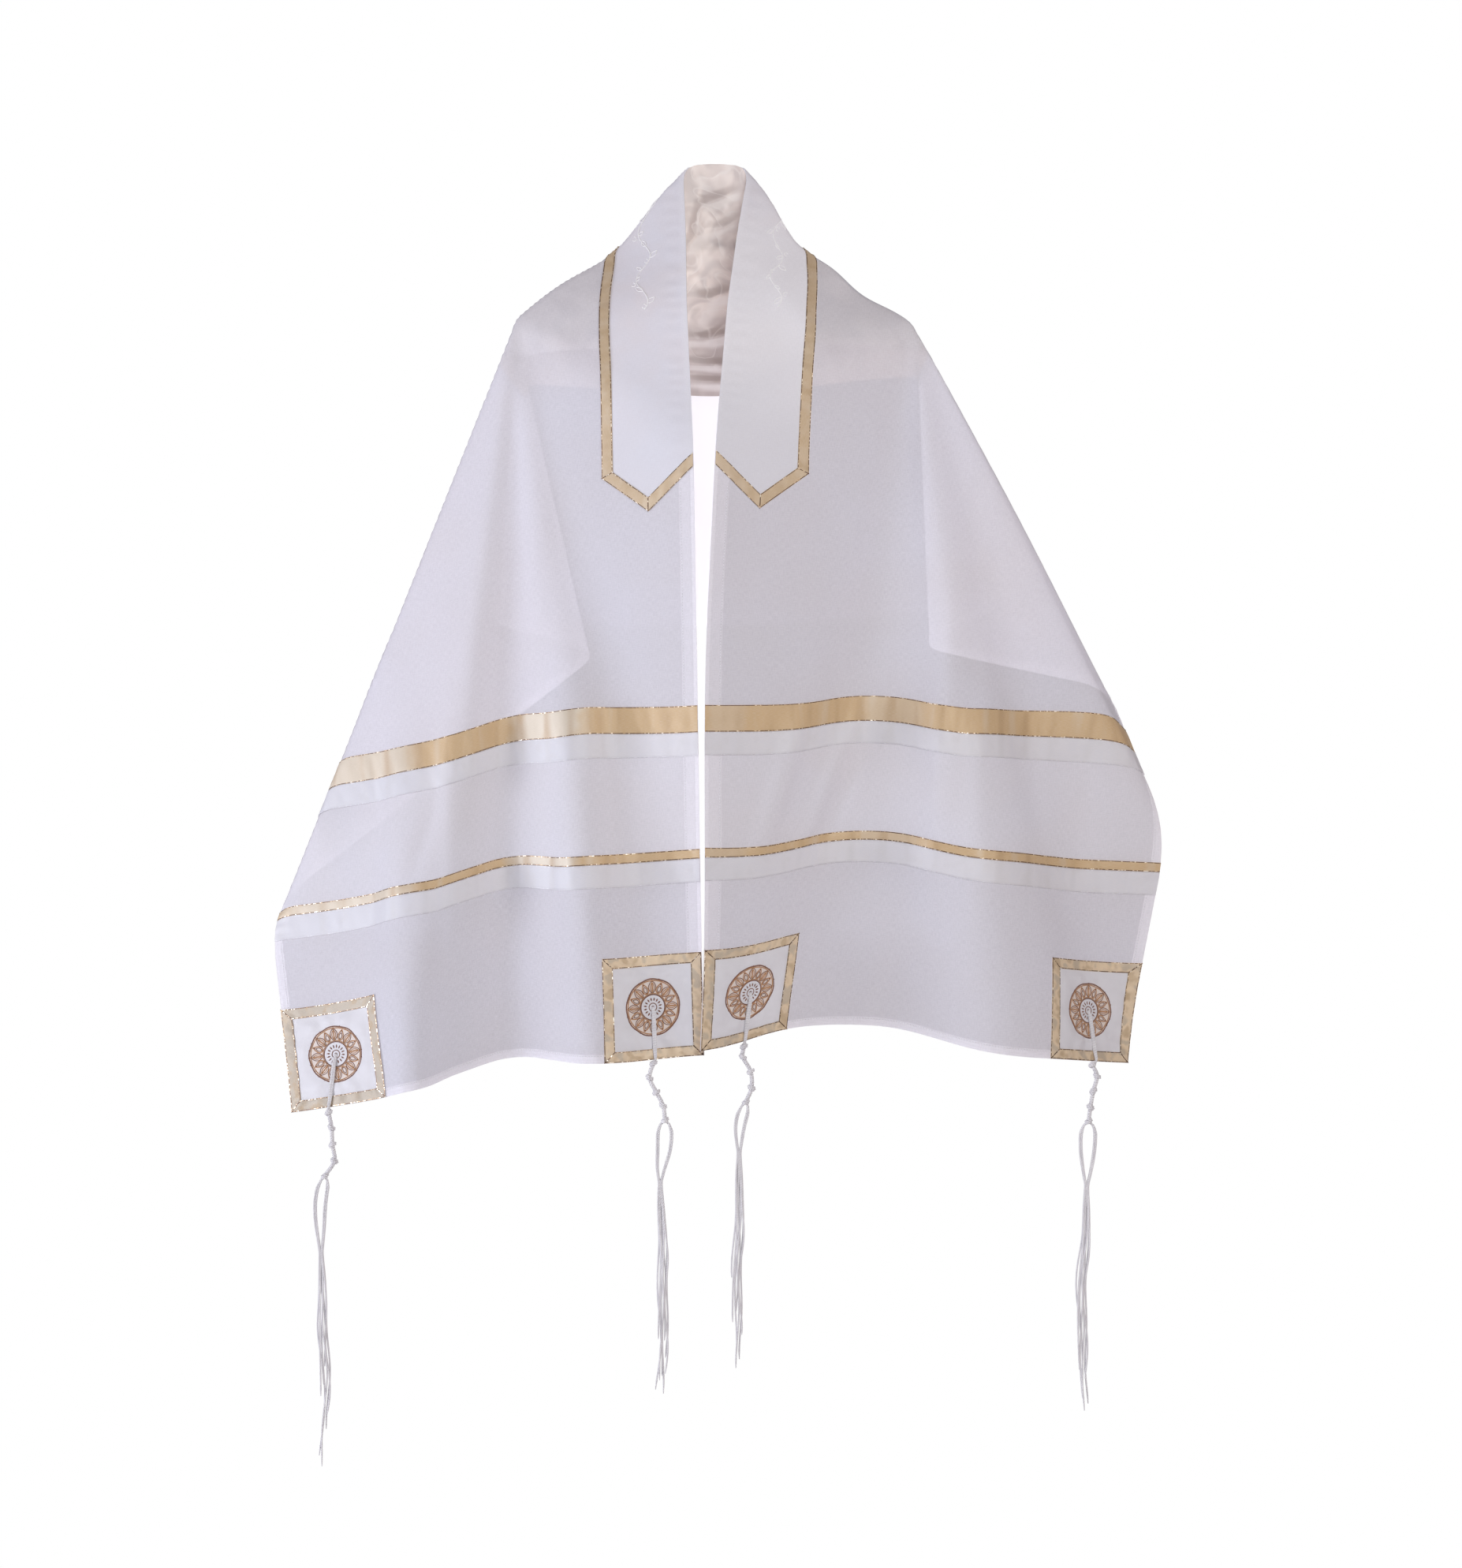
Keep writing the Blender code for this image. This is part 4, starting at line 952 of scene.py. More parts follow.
def mitred_ribbon(outer, inner, layer, closed):
    """Strips of ribbon between matching corners of two outlines, with a cord down each mitre."""
    count = len(outer) if closed else len(outer) - 1
    strips = []
    for start in range(count):
        end = (start + 1) % len(outer)
        strips.append(ribbon_strip((outer[start], outer[end]), (inner[start], inner[end]), layer))
    mitres = list(zip(outer, inner))
    for ends in mitres if closed else mitres[1:-1]:
        line = np.linspace(*ends, 9)[None]
        strips.append(cords_on_cloth(line, layer[1] + 0.0003, 0.0005, 0.0004, mask=1.0))
    return join(strips)


def make_front_ribbons(side, sign, gold, white):
    """The four ribbons of a front. A row of stitches runs 1.6 mm above a white one's lower edge."""
    rows = (
        ("wide_gold", WIDE_GOLD, gold, "gold_ribbon"),
        ("wide_white", WIDE_WHITE, white, "white_ribbon"),
        ("narrow_gold", NARROW_GOLD, gold, "gold_ribbon"),
        ("narrow_white", NARROW_WHITE, white, "white_ribbon"),
    )
    for name, (top, bottom), finish, slot in rows:
        edges = [((0.0, sign * along), (CLOTH_WIDTH, sign * along)) for along in (top, bottom)]
        shape = ribbon_strip(*edges, TRIM_LAYER)
        if slot == "white_ribbon":
            start, end = ((across, sign * (bottom - 0.0016)) for across in (0.002, CLOTH_WIDTH - 0.002))
            shape = join([shape, stitches(start, end, TRIM_LAYER[1] + 0.0001)])
        piece = add_piece(f"satin_{name}_{side}", shape, finish, [f"{name}_ribbon_{side}"])


# ---------------------------------------------------------------- panels
# Grid lines by a hem's inner edge: this far out on the single cloth and this far in on the
# doubled, so that the face steps up between them
SINGLE, DOUBLED = 0.0005, 0.001


def panel(first, last):
    """A full-width stretch of the cloth between two places ALONG, with extra grid lines at its
    hems and its turned edges."""
    front, side = HEM_FRONT, CLOTH_WIDTH - HEM_SIDE
    across = [
        [0.0, TURNED_EDGE],
        even_lines(0.005, front - DOUBLED, PANEL_PITCH),
        even_lines(front + SINGLE, side - SINGLE, PANEL_PITCH),
        even_lines(side + DOUBLED, CLOTH_WIDTH - TURNED_EDGE, PANEL_PITCH),
        [CLOTH_WIDTH],
    ]
    along = even_lines(first, last, PANEL_PITCH)
    if np.isclose(abs(last), CLOTH_HALF):
        hem = CLOTH_HALF - HEM_SIDE
        end = (hem - SINGLE, hem + DOUBLED, CLOTH_HALF - 0.004, CLOTH_HALF - TURNED_EDGE, CLOTH_HALF)
        end = np.sign(last) * np.array(end)
        along = np.concatenate([even_lines(first, end[0], PANEL_PITCH)[:-1], end])
    return np.meshgrid(np.concatenate(across), along)


def hem_rise(across, along):
    """How much thicker a doubled hem is: 1 inside it and 0 beyond, and 0 at the very edge."""
    side = np.minimum(CLOTH_WIDTH - across, CLOTH_HALF - np.abs(along))
    inside = (across < HEM_FRONT) | (side < HEM_SIDE)
    edge = np.minimum(across, side)
    return inside * np.clip(edge / TURNED_EDGE, 0.0, 1.0)


def make_panel(name, first, last, finish, node):
    """A panel, thicker at its hems, but not on the inside where the lining lies on it."""
    across, along = panel(first, last)
    rise = hem_rise(across, along)
    under_lining = np.abs(along) < LINING_END + 0.002
    inner = -CLOTH_FACE - 0.0002 * rise * ~under_lining
    outer = CLOTH_FACE + 0.00012 * rise
    shape = wall(across, along, inner, outer, inside=1.0)
    piece = add_piece(name, shape, finish, [node])


def make_hem_stitching(finish):
    """The rows of stitches that hold the hems down, 1.8 mm inside the front hem's inner edge
    and 1.4 mm inside the others'. They end at the neckband and the patches."""
    front, side = HEM_FRONT - 0.0018, CLOTH_WIDTH - HEM_SIDE + 0.0014
    end, patch = CLOTH_HALF - HEM_SIDE + 0.0014, CLOTH_HALF - PATCH_SIZE
    lift = CLOTH_FACE + 0.00022
    for name, sign in (("left", -1), ("right", 1)):
        runs = (
            ((front, sign * (NECKBAND_END + 0.02)), (front, sign * patch)),
            ((side, 0.0), (side, sign * patch)),
            ((PATCH_SIZE, sign * end), (CLOTH_WIDTH - PATCH_SIZE, sign * end)),
        )
        shape = join([stitches(start, stop, lift) for start, stop in runs])
        add_piece(f"hem_stitching_{name}", shape, finish)


# ---------------------------------------------------------------- neckband and lining
def neckband_end(across):
    """How far ALONG the neckband reaches: a point whose tip is halfway across."""
    tip = NECKBAND_WIDTH / 2
    return NECKBAND_END + NECKBAND_TIP * np.clip(1 - np.abs(across - tip) / tip, 0.0, 1.0)


def make_neckband(cloth, gold):
    """The pointed band round the neck, thickened by a roll near its front edge,
    0.4 mm * exp(-(across / 6 mm)^2), and its edging round both points and the outer edge."""
    half = NECKBAND_WIDTH / 2
    to_tip = even_lines(0.0, half, NECKBAND_PITCH_ACROSS)
    from_tip = even_lines(half, NECKBAND_WIDTH, NECKBAND_PITCH_ACROSS)
    across = np.concatenate([to_tip, from_tip[1:]])
    way = even_lines(-1.0, 1.0, NECKBAND_PITCH_ALONG / NECKBAND_END)
    across, way = np.meshgrid(across, way)
    rolled = 0.0004 * np.exp(-((across / 0.006) ** 2)) * (across > 0)
    shape = wall(across, way * neckband_end(across), TRIM_LAYER[0], TRIM_LAYER[1] + rolled)
    piece = add_piece("cloth_neckband", shape, cloth, ["neckband"])

    edge = NECKBAND_WIDTH - EDGING_WIDTH
    outer, inner = [], []
    for sign, columns in ((-1, (0.0, half, NECKBAND_WIDTH)), (1, (NECKBAND_WIDTH, half, 0.0))):
        for column in columns:
            at = min(column, edge)
            outer.append((column, sign * float(neckband_end(column))))
            inner.append((at, sign * float(neckband_end(at) - NECKBAND_EDGING_RISE)))
    shape = mitred_ribbon(outer, inner, EDGING_LAYER, closed=False)
    piece = add_piece("satin_neckband_edging", shape, gold, ["neckband_ribbon"])


def make_lining(finish):
    """The satin inside the back of the neck. It stands inwards by its wrinkles and by small
    ripples along it that fade to both edges. Its mask is which way each place faces, from 0 for
    down to 1 for up: 0.5 - 0.5 * tanh(slope / 0.45), which the lining's finish turns into
    painted highlight and painted shade."""
    across, along = np.meshgrid(
        even_lines(0.0, LINING_WIDTH, LINING_PITCH), even_lines(-LINING_END, LINING_END, LINING_PITCH)
    )
    ripple = 0.0006 * (1 + np.sin(along * 190.0 + 3.0 * np.sin(across * 70.0)))
    ripple = ripple * np.sin(np.pi * across / LINING_WIDTH)
    inward = np.maximum(creased(across, along, LINING_WRINKLES), 0.0) + ripple
    points, quads, uv, _ = wall(across, along, LINING_LAYER[0] - inward, LINING_LAYER[1] - inward)
    aside, down = np.gradient(inward, LINING_PITCH)
    facing = 0.5 - 0.5 * np.tanh((down + 0.5 * aside) / 0.45)
    shape = (points, quads, uv, np.tile(facing.ravel(), 2))
    piece = add_piece("satin_neck_lining", shape, finish, ["neck_lining"])


def make_neck_vine(finish):
    """A winding stem of fine white thread along the neckband. At each quarter of its swing a
    leaf leaves it, outlined by two lines that bow apart as sin(pi * way), with a curl behind
    every other leaf: a turn whose radius shrinks as it goes."""
    period, swing, middle_across, reach = 0.062, 0.007, 0.048, 0.212
    lift = TRIM_LAYER[1] + 0.00015
    stem_thread, leaf_thread = (0.00050, 0.00036), (0.00045, 0.00034)

    def stem(along):
        """The stem's flat places: a sine along the neckband."""
        return np.stack([middle_across + swing * np.sin(2 * np.pi * along / period), along], -1)

    run = np.linspace(-reach, reach, 360)
    shapes = [cords_on_cloth(stem(run)[None], lift, *stem_thread)]
    root = stem(np.arange(-reach + 0.008, reach - 0.008, period / 4))
    number = np.arange(len(root))
    side = np.where(number % 2, 1.0, -1.0)
    slant = 0.75 + 0.25 * np.sin(2.3 * number)
    size = (0.0090 + 0.0022 * np.sin(1.7 * number + 0.6))[:, None, None]
    ahead = np.stack([side * np.sin(slant), np.cos(slant)], -1)
    beside = np.stack([ahead[:, 1], -ahead[:, 0]], -1)
    way = np.linspace(0.0, 1.0, 13)[None, :, None]
    for bow in (-0.23, 0.23):
        swell = bow * np.sin(np.pi * way)
        line = root[:, None] + size * (ahead[:, None] * way + beside[:, None] * swell)
        shapes.append(cords_on_cloth(line, lift, *leaf_thread))
    turn = side[::2, None] * np.linspace(0.0, 4.6, 15)
    radius = np.linspace(0.0034, 0.0012, 15)
    centre = root[::2] - ahead[::2] * 0.0062
    shapes.append(cords_on_cloth(polar(centre[:, None], radius, turn), lift, *leaf_thread))
    add_piece("neckband_vine_embroidery", join(shapes), finish, sharp=THREAD_SHARP)


# ---------------------------------------------------------------- corner patches
def patch_pucker(aside, ahead):
    """How far the patch cloth stands up round its embroidery: a ring of ripples that run out as
    rays, 1 + sin(9 * turn + drift), and slow swells beyond the rosette, a product of two sines.
    Both fade out at the edging."""
    radius, turn = np.hypot(aside, ahead), np.arctan2(aside, ahead)
    ring = np.exp(-(((radius - 0.037) / 0.009) ** 2))
    rays = 0.0007 * (1 + np.sin(9 * turn + 2.0 * np.sin(2 * turn))) * ring
    swell = 0.0004 * (1 + np.sin(aside * 130.0 + 1.0) * np.sin(ahead * 110.0 + 2.0))
    beyond = np.clip((radius - 0.028) / 0.008, 0.0, 1.0)
    to_edging = PATCH_SIZE / 2 - EDGING_WIDTH - np.maximum(abs(aside), abs(ahead))
    return (rays + swell * beyond) * np.clip(to_edging / 0.008, 0.0, 1.0)


def stroke(middle, radius, turn, half_width, height=0.0004, sides=6):
    """Raised stitches along lines given by radius and turn round a middle, lines x steps."""
    flat = polar(0.0, *np.broadcast_arrays(radius, turn))
    lift = TRIM_LAYER[1] + 0.0001 + patch_pucker(flat[..., 0], flat[..., 1])
    return cords_on_cloth(middle + flat, lift, half_width, height, sides)


def medallion(middle):
    """A rosette in dark and copper thread: rings, eight pointed petals each in two nested
    outlines round a middle vein, a bud of two nested outlines between each pair, beads, and
    rays round the eyelet. An outline is two lines from ring to ring that bow apart by
    bow * sin(pi * way^lean)^blunt."""
    dark, copper = [], []
    petals = 2 * np.pi * np.arange(PETALS)[:, None] / PETALS
    buds = petals + np.pi / PETALS
    root, tip = RING_INNER + 0.0014, RING_OUTER - 0.0016

    around = np.linspace(0, 2 * np.pi, 97)[None]
    wavy = RING_OUTER + 0.0002 + 0.00025 * np.sin(9 * around + 1.0)
    # Columns: thread, radius, half width, height
    rings = (
        (dark, wavy, 0.00070, 0.0005),
        (dark, RING_INNER, 0.00060, 0.0005),
        (dark, EYELET + 0.0010, 0.00045, 0.0005),
        (copper, RING_OUTER - 0.0014, 0.00055, 0.0004),
        (copper, RING_INNER + 0.0012, 0.00045, 0.0004),
    )
    for thread, radius, half_width, height in rings:
        thread.append(stroke(middle, radius, around, half_width, height))

    # Columns: thread, turns, start and end, bow, lean, bluntness, half width, steps
    outlines = (
        (dark, petals, root, tip, 0.0040, 1.0, 0.8, 0.00042, 13),
        (copper, petals, root + 0.0012, tip - 0.0018, 0.0022, 1.0, 0.8, 0.00042, 13),
        (copper, buds, root + 0.0006, tip - 0.0010, 0.0031, 0.7, 1.0, 0.00060, 15),
        (dark, buds, root + 0.0014, root + 0.0086, 0.0017, 1.0, 1.0, 0.00038, 13),
    )
    for thread, turns, start, end, bow, lean, blunt, half_width, steps in outlines:
        way = np.linspace(0.0, 1.0, steps)
        radius = start + (end - start) * way
        apart = bow * np.sin(np.pi * way**lean) ** blunt / radius
        for side in (-1, 1):
            thread.append(stroke(middle, radius, turns + side * apart, half_width))

    vein = np.linspace(root, tip, 13)
    vein_width = 0.0006 * np.sin(np.pi * np.linspace(0.0, 1.0, 13)) ** 0.8 + 0.0002
    copper.append(stroke(middle, vein, petals, vein_width, 0.0005))
    bead = np.linspace(-0.0008, 0.0008, 5)
    bead_width = 0.0010 * np.cos(np.pi * bead / 0.0019)
    dark.append(stroke(middle, RING_OUTER - 0.0040 + bead, buds, bead_width, 0.0006, 8))
    on_ring = 2 * np.pi * np.arange(3 * PETALS)[:, None] / (3 * PETALS)
    dark.append(stroke(middle, RING_OUTER + 0.0002 + bead, on_ring, bead_width, 0.0006, 8))
    rays = 2 * np.pi * (np.arange(2 * PETALS)[:, None] + 0.5) / (2 * PETALS)
    ray_width = 0.00080 * np.sin(np.pi * np.linspace(0.08, 0.95, 7))
    dark.append(stroke(middle, np.linspace(0.0066, 0.0100, 7), rays, ray_width, 0.0005))
    return join(dark), join(copper)


def make_patch(side, sign, place, cloth, gold, dark, copper):
    """A square patch with its mitred edging and its rosette."""
    name = f"{side}_{place}"
    half = PATCH_SIZE / 2
    across = half if place == "inner" else CLOTH_WIDTH - half
    middle = np.array([across, sign * (CLOTH_HALF - half)])
    steps = even_lines(-half, half, PATCH_PITCH)
    aside, ahead = np.meshgrid(steps, steps)
    outer_face = TRIM_LAYER[1] + patch_pucker(aside, ahead)
    uv = np.stack([aside, ahead], -1)
    shape = wall(middle[0] + aside, middle[1] + ahead, TRIM_LAYER[0], outer_face, uv)
    piece = add_piece(f"cloth_patch_{name}", shape, cloth, [f"patch_{name}"])

    corners = np.array([(-1, -1), (1, -1), (1, 1), (-1, 1)])
    outer, inner = middle + corners * half, middle + corners * (half - EDGING_WIDTH)
    shape = mitred_ribbon(outer, inner, EDGING_LAYER, closed=True)
    piece = add_piece(f"satin_patch_edging_{name}", shape, gold, [f"patch_ribbon_{name}"])
    outline, filling = medallion(middle)
    add_piece(f"rosette_outline_{name}", outline, dark, sharp=THREAD_SHARP)
    add_piece(f"rosette_filling_{name}", filling, copper, sharp=THREAD_SHARP)


# ---------------------------------------------------------------- tassels
def smooth_path(points, steps):
    """A Catmull-Rom curve through the points, sampled evenly between them."""
    points = np.array(points, float)
    ends = np.concatenate([[2 * points[0] - points[1]], points, [2 * points[-1] - points[-2]]])
    places = np.linspace(0, len(points) - 1, steps)
    first = np.minimum(places.astype(int), len(points) - 2)
    part = (places - first)[:, None]
    a, b, c, d = (ends[first + k] for k in range(4))
    curve = 2 * b + (c - a) * part + (2 * a - 5 * b + 4 * c - d) * part**2
    return (curve + (3 * b - a - 3 * c + d) * part**3) / 2


def sides_of(path):
    """Unit directions beside and in front of each point of a path."""
    tangent = np.gradient(path, axis=0)
    tangent /= np.linalg.norm(tangent, axis=1, keepdims=True)
    aside = np.cross(tangent, (0.0, 1.0, 0.0))
    aside /= np.linalg.norm(aside, axis=1, keepdims=True)
    return aside, np.cross(tangent, aside)


def tassel_cord(spec):
    """Four threads from the eyelet over the patch, side by side, then twisted round each
    other down through the knots: each is the middle line plus a circle that turns with the
    way. Gives them, the knots' places, and the point over the hem."""
    way = np.linspace(0.0, 1.0, 7)
    across = np.linspace(*spec["across"], 7)
    along = spec["side"] * (CLOTH_HALF - PATCH_SIZE / 2 * (1 - way))
    place, normal = surface(across, along)
    lift = np.interp(way, (0.0, 0.1, 0.6, 1.0), (0.0012, 0.0026, 0.0034, 0.0036))
    over_patch = place + normal * lift[:, None]
    hem = over_patch[-1]
    knots = np.array([hem + (aside, 0.0, -down) for aside, down in spec["knots"]])
    path = smooth_path([*over_patch, *knots], 150)
    aside, ahead = sides_of(path)
    run = np.concatenate([[0.0], np.cumsum(np.linalg.norm(np.diff(path, axis=0), axis=1))])
    hem_run = run[int(np.argmin(np.abs(path[:, 2] - hem[2])))]
    twisted = np.clip((run - hem_run + 0.002) / 0.006, 0.0, 1.0)
    lane_spread = 0.00045 + 0.0005 * np.sin(np.pi * np.clip(run / hem_run, 0.0, 1.0))
    threads = []
    for lane in range(4):
        turn = 2 * np.pi * (run / CORD_LAY + lane / 4)
        flat_beside, flat_front = (lane - 1.5) * lane_spread, 0.0002 * (lane % 2)
        beside = (1 - twisted) * flat_beside + twisted * CORD_RADIUS * np.cos(turn)
        front = (1 - twisted) * flat_front + twisted * CORD_RADIUS * np.sin(turn)
        threads.append(path + aside * beside[:, None] + ahead * front[:, None])
    return np.array(threads), knots, hem


def knot_wraps(knots):
    """At each knot, thread wound 2.6 times round the cord: a helix from top to bottom whose
    radius swells in its middle, leaning a little to one side and then the other."""
    way = np.linspace(0.0, 1.0, 40)
    turn = 2 * np.pi * 2.6 * way
    on_cord, half_height, lean = 0.0016, 0.0023, 0.35
    radius = on_cord + (KNOT_RADIUS - on_cord) * np.sin(np.pi * way) ** 0.6
    wraps = []
    for number, knot in enumerate(knots):
        x = radius * np.cos(turn + number)
        y = radius * np.sin(turn + number)
        z = half_height * (1 - 2 * way) + lean * (-1) ** number * x
        wraps.append(knot + np.stack([x, y, z], -1))
    return np.array(wraps)


def hanging_strands(spec, knots, hem):
    """Eight strands from the last knot, in two rows of four lanes: they bow apart into a loop,
    close, and hang with a slow waver to their own ends. The outer ones stand off in slow bows,
    sin(way)^2."""
    pitch_aside, pitch_deep = 0.0019, 0.0020
    root = knots[-1]
    below = [hem + (aside, 0.0, -down) for aside, down in spec["strands"]]
    line = smooth_path([root, *below], 80)
    loop_width, loop_end = spec["loop"]
    start = hem[2] - root[2]
    strands = []
    for number, end in enumerate(spec["ends"]):
        lane, row = number % 4 - 1.5, number // 4 - 0.5
        outwards = np.sign(lane)
        drop = np.linspace(start, end, 64)
        in_loop = np.clip((drop - start) / (loop_end - start), 0.0, 1.0)
        opening = loop_width * np.sin(np.pi * in_loop**0.55) ** 0.75
        ease = np.clip((drop - start) / 0.012, 0.0, 1.0)
        free = np.clip((drop - loop_end) / 0.08, 0.0, 1.0)
        waver = 0.0014 * np.sin(drop * (52 + 9 * lane) + 2.3 * number)
        bow = 0.0034 * (0.6 + 0.4 * row) * np.sin(drop * (21 + 2 * number) + number) ** 2
        stand_off = outwards * bow * (abs(lane) > 1)
        close = 1 - 0.45 * np.exp(-(((drop - loop_end) / 0.02) ** 2))
        x = np.interp(drop, hem[2] - line[:, 2], line[:, 0])
        x = x + ease * close * lane * pitch_aside + outwards * opening + free * (waver + stand_off)
        y = root[1] + ease * row * pitch_deep + 0.0008 * free * np.sin(drop * (44 + 6 * row) + number)
        strands.append(np.stack([x, y, hem[2] - drop], -1))
    return np.array(strands)


def make_tassel(name, spec, finish):
    """The twisted cord, its knots, and the strands, which taper towards their ends."""
    cord, knots, hem = tassel_cord(spec)
    strands = hanging_strands(spec, knots, hem)
    taper = np.interp(np.linspace(0, 1, strands.shape[1]), (0.0, 0.97, 1.0), (1.0, 0.9, 0.45))
    ahead, upright = (0.0, -1.0, 0.0), (0.0, 0.0, 1.0)
    shapes = [
        tubes(cord, ahead, THREAD_RADIUS, THREAD_RADIUS, 8),
        tubes(knot_wraps(knots), upright, KNOT_THREAD_RADIUS, KNOT_THREAD_RADIUS, 8),
        tubes(strands, ahead, THREAD_RADIUS * taper, THREAD_RADIUS * taper, 8),
    ]
    shape = join(shapes)
    nodes = [f"tassel_{name}"]
    add_piece(f"tassel_threads_{name}", shape, finish, nodes, sharp=THREAD_SHARP)


# ---------------------------------------------------------------- camera, light and backdrop
# The camera, and how high its frame is at a distance
CAMERA_PLACE = (0.018, -2.95, -0.4995)
FRAME_DISTANCE = 2.85
FRAME_HEIGHT = 1.630
SENSOR = 36.0

# Area lights, all turned to the middle. Columns: place, size, watts, colour
MIDDLE = (0.0, -0.05, -0.45)
LIGHTS = (
    ("window", (-3.0, -0.8, -0.5), 1.3, 57.0, (0.88, 0.92, 1.0)),
    ("room, ahead", (0.6, -2.1, 0.4), 1.2, 25.0, (0.92, 0.98, 0.99)),
    ("room, right", (2.6, -2.6, 0.6), 2.2, 17.5, (1.0, 0.82, 0.66)),
    ("room, behind", (0.4, 2.8, 0.6), 2.0, 55.0, (1.0, 0.98, 0.99)),
)

# The dim even light that comes from all round
AMBIENT = (0.150, 0.120, 0.138)

# The backdrop: the height of its floor, where that starts and where it begins to curve up (Y),
# the curve's radius, the top of its wall (Z), and its sides (X)
FLOOR = -1.45
FLOOR_FRONT, FLOOR_BACK, CURVE_RADIUS, WALL_TOP = -5.0, 3.0, 1.2, 4.5
BACKDROP_SIDES = (-8.0, 8.0)


def add_camera():
    """Level, looking along +Y. The lens is the sensor's width * distance / height of the frame."""
    data = bpy.data.cameras.new("camera")
    data.sensor_width = SENSOR
    data.lens = SENSOR * FRAME_DISTANCE / FRAME_HEIGHT
    camera = add_object("camera", data)
    camera.location = CAMERA_PLACE
    camera.rotation_euler = (np.pi / 2, 0.0, 0.0)
    bpy.context.scene.camera = camera


def add_light(name, place, size, power, colour):
    """An area light, turned from its place to the middle of the shawl."""
    data = bpy.data.lights.new(name, "AREA")
    data.size = size
    data.energy = power
    data.color = colour
    light = add_object(name, data)
    light.location = place
    x, y, z = np.subtract(MIDDLE, place)
    light.rotation_euler = (np.arctan2(np.hypot(x, y), -z), 0.0, np.arctan2(y, x) - np.pi / 2)


def backdrop_colour(tree):
    """White as it is seen directly, and painted dark where it is seen through sheer cloth, a painted shade.
    """
    path = put(tree, "LightPath").outputs
    through = calc(tree, "MINIMUM", path["Transparent Depth"], 1.0)
    return mixed(tree, through, WHITE, PAINTED_SHADE_BEHIND_CLOTH), path["Is Camera Ray"]


def add_backdrop():
    """A pale floor that curves up into a wall: a level run, a quarter circle and an upright."""
    turn = np.linspace(0.0, np.pi / 2, 17)
    foot = FLOOR_BACK + CURVE_RADIUS
    y = np.concatenate([[FLOOR_FRONT], FLOOR_BACK + CURVE_RADIUS * np.sin(turn), [foot]])
    z = np.concatenate([[FLOOR], FLOOR + CURVE_RADIUS * (1 - np.cos(turn)), [WALL_TOP]])
    points = [(x, run, rise) for x in BACKDROP_SIDES for run, rise in zip(y, z)]
    count = len(y)
    faces = [(k, count + k, count + k + 1, k + 1) for k in range(count - 1)]
    mesh = bpy.data.meshes.new("backdrop")
    mesh.from_pydata(points, [], faces)
    mesh.shade_smooth()
    add_object("backdrop", mesh)
    paper = bpy.data.materials.new("backdrop paper")
    paper.use_nodes = True
    tree = paper.node_tree
    tree.nodes.clear()
    colour, is_camera = backdrop_colour(tree)
    lit = put(tree, "BsdfDiffuse", {"Color": (0.9, 0.9, 0.9)}).outputs[0]
    glow = put(tree, "Emission", {"Color": colour}).outputs[0]
    both = put(tree, "MixShader", {0: is_camera, 1: lit, 2: glow}).outputs[0]
    tree.links.new(both, put(tree, "OutputMaterial").inputs[0])
    mesh.materials.append(paper)


def add_world():
    """The light from all round, and the backdrop's white where the camera looks past its edge."""
    world = bpy.data.worlds.new("studio")
    bpy.context.scene.world = world
    world.use_nodes = True
    tree = world.node_tree
    tree.nodes.clear()
    colour, is_camera = backdrop_colour(tree)
    shown = mixed(tree, is_camera, AMBIENT, colour)
    glow = put(tree, "Background", {"Color": shown}).outputs[0]
    tree.links.new(glow, put(tree, "OutputWorld").inputs[0])


add_camera()
add_backdrop()
add_world()
for light in LIGHTS:
    add_light(*light)
bpy.context.scene.view_settings.view_transform = "Standard"

# ---------------------------------------------------------------- making the shawl
# The dark and middling colour of a ribbon's edge thread, and the bright colour of its painted glints
GILT = ((0.13, 0.08, 0.06), (0.58, 0.42, 0.27), (1.0, 0.96, 0.88))
WHITES = ((0.66, 0.64, 0.68), (0.73, 0.71, 0.76), (0.84, 0.82, 0.87))

# Columns: painted sheen, plain and painted deep shade colour, edge thread, metal, roughness, and blotches of
# painted highlight and shade
SATINS = {
    "gold satin": ((0.70, 0.61, 0.50), (0.615, 0.43, 0.24), (0.46, 0.295, 0.15), GILT, 0.06, 0.40, 0.0),
    "gold edging satin": ((0.72, 0.61, 0.49), (0.60, 0.45, 0.29), (0.46, 0.31, 0.17), GILT, 0.06, 0.40, 0.18),
    "gold frame satin": ((0.44, 0.375, 0.30), (0.75, 0.59, 0.41), (0.46, 0.32, 0.18), GILT, 0.06, 0.40, 0.60),
    "white satin": ((0.69, 0.68, 0.735), (0.72, 0.70, 0.74), (0.655, 0.635, 0.66), WHITES, 0.0, 0.42, 0.25),
}
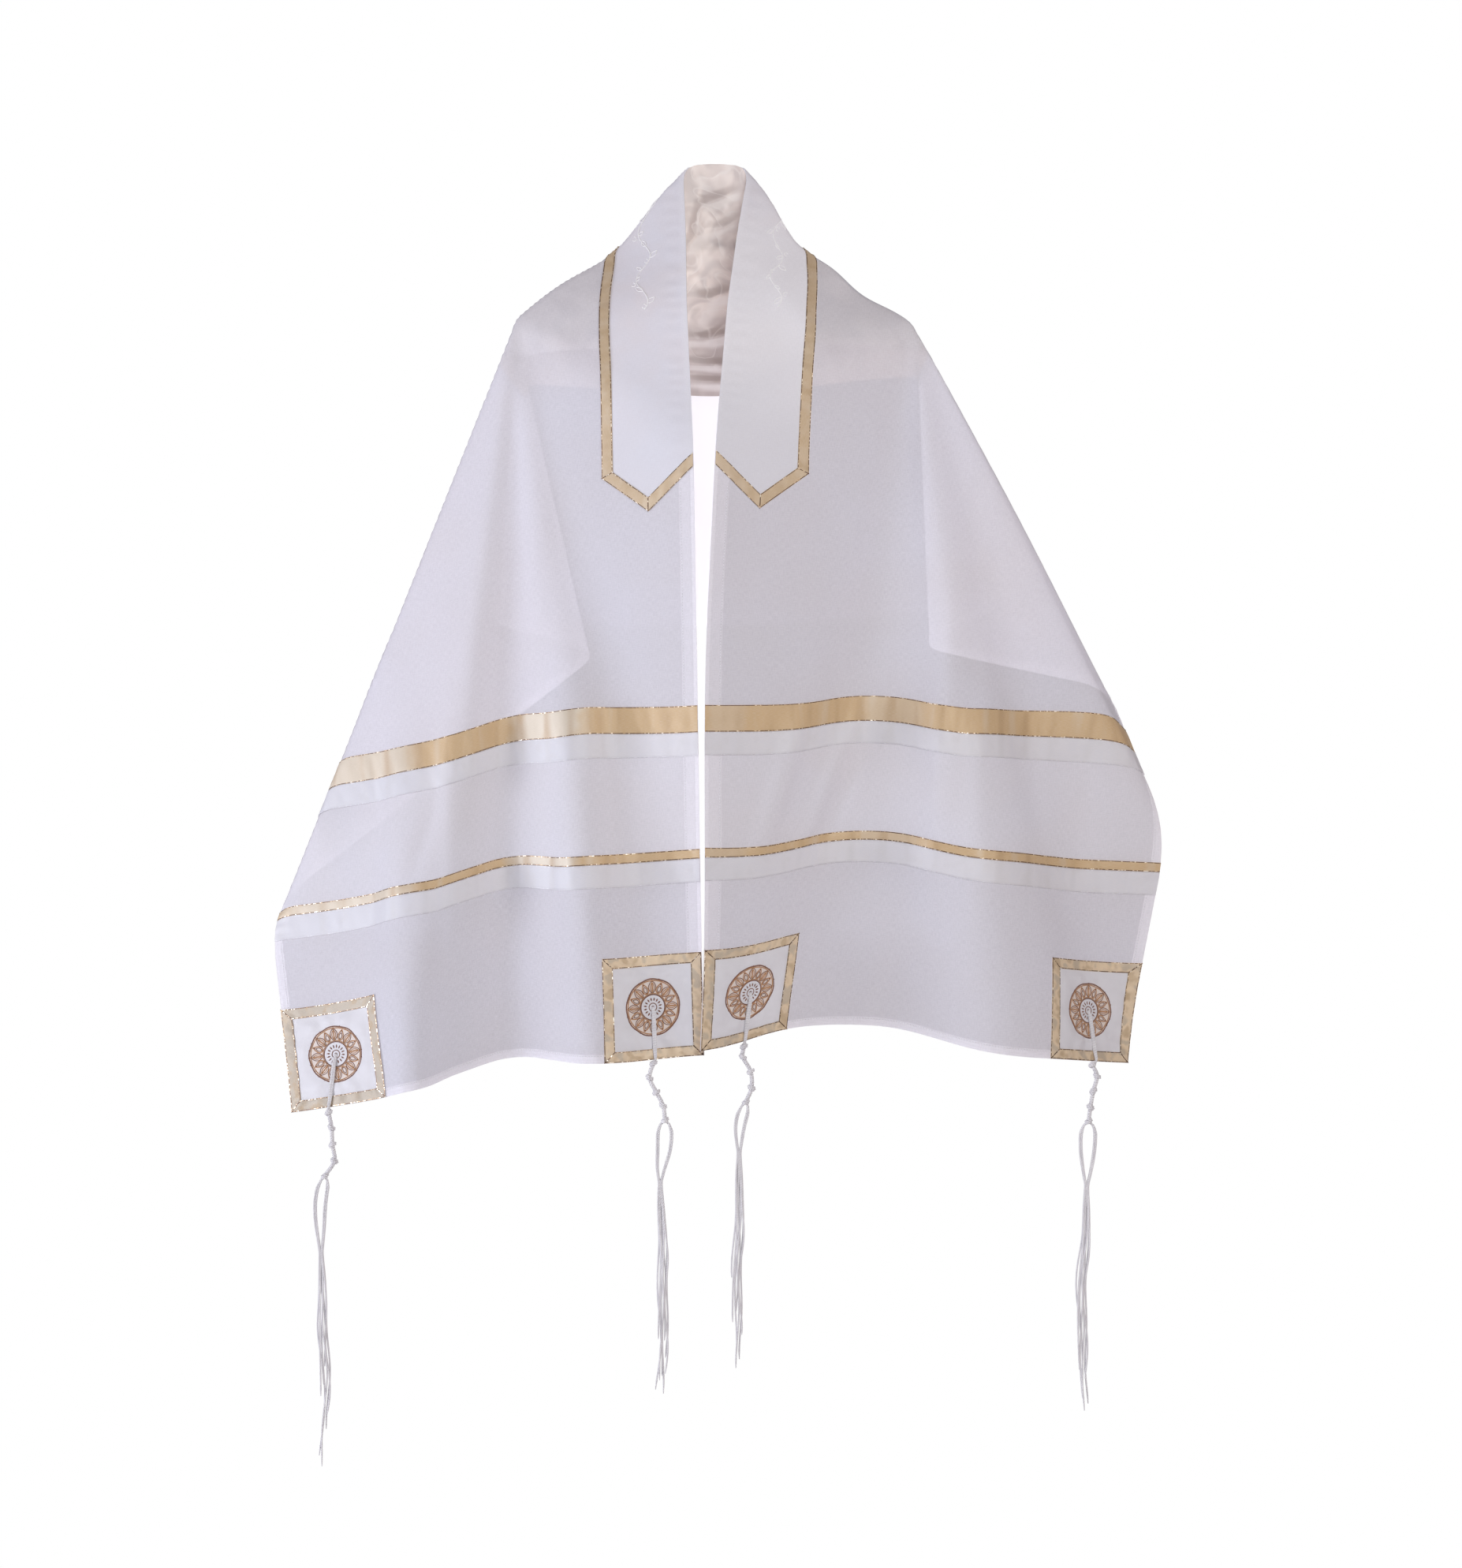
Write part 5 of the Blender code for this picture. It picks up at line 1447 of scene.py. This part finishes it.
# Columns: light and shade colour, lay, roughness, how dark the painted shade in the grooves is, and painted
# glow
THREADS = {
    "tassel wool": ((0.86, 0.84, 0.86), (0.72, 0.70, 0.735), 0.0026, 0.8, 0.45, 0.0),
    "sewing thread": ((0.86, 0.85, 0.89), (0.80, 0.79, 0.84), 0.0009, 0.5, 0.45, 0.0),
    "white embroidery": ((0.97, 0.95, 0.96), (0.94, 0.92, 0.94), 0.0006, 0.4, 0.12, 0.10),
    "dark embroidery": ((0.30, 0.14, 0.085), (0.20, 0.085, 0.05), 0.0007, 0.5, 0.30, 0.0),
    "copper embroidery": ((0.62, 0.33, 0.155), (0.46, 0.22, 0.095), 0.0007, 0.4, 0.45, 0.0),
}
SHEER = voile("sheer voile", (0.80, 0.785, 0.86), (0.77, 0.735, 0.77), open_share=0.50, hem_share=0.30)
BAND = voile("band voile", (0.775, 0.765, 0.835), (0.76, 0.725, 0.755), open_share=0.38, hem_share=0.20)
NECK_CLOTH = neckband_cloth()
LINING = lining_finish()
PATCH = patch_finish()
GOLD, EDGING, FRAME, PEARL = (ribbon_satin(name, *row) for name, row in SATINS.items())
TASSEL, SEWING, EMBROIDERY, DARK, COPPER = (thread_finish(name, *row) for name, row in THREADS.items())

CENTRE_END = BAND_SEAM - SEAM_HALF
BAND_START, BAND_END = BAND_SEAM + SEAM_HALF, END_SEAM - SEAM_HALF
END_START = END_SEAM + SEAM_HALF
make_panel("cloth_centre", -CENTRE_END, CENTRE_END, SHEER, "centre_panel")
make_neckband(NECK_CLOTH, EDGING)
make_lining(LINING)
make_neck_vine(EMBROIDERY)
for side, sign in (("left", -1), ("right", 1)):
    start, end = sign * BAND_START, sign * BAND_END
    make_panel(f"cloth_band_{side}", start, end, BAND, f"band_panel_{side}")
    start, end = sign * END_START, sign * CLOTH_HALF
    make_panel(f"cloth_end_{side}", start, end, SHEER, f"end_panel_{side}")
    make_front_ribbons(side, sign, GOLD, PEARL)
    for place in ("inner", "outer"):
        make_patch(side, sign, place, PATCH, FRAME, DARK, COPPER)
make_hem_stitching(SEWING)
for name, spec in TASSELS.items():
    make_tassel(name, spec, TASSEL)
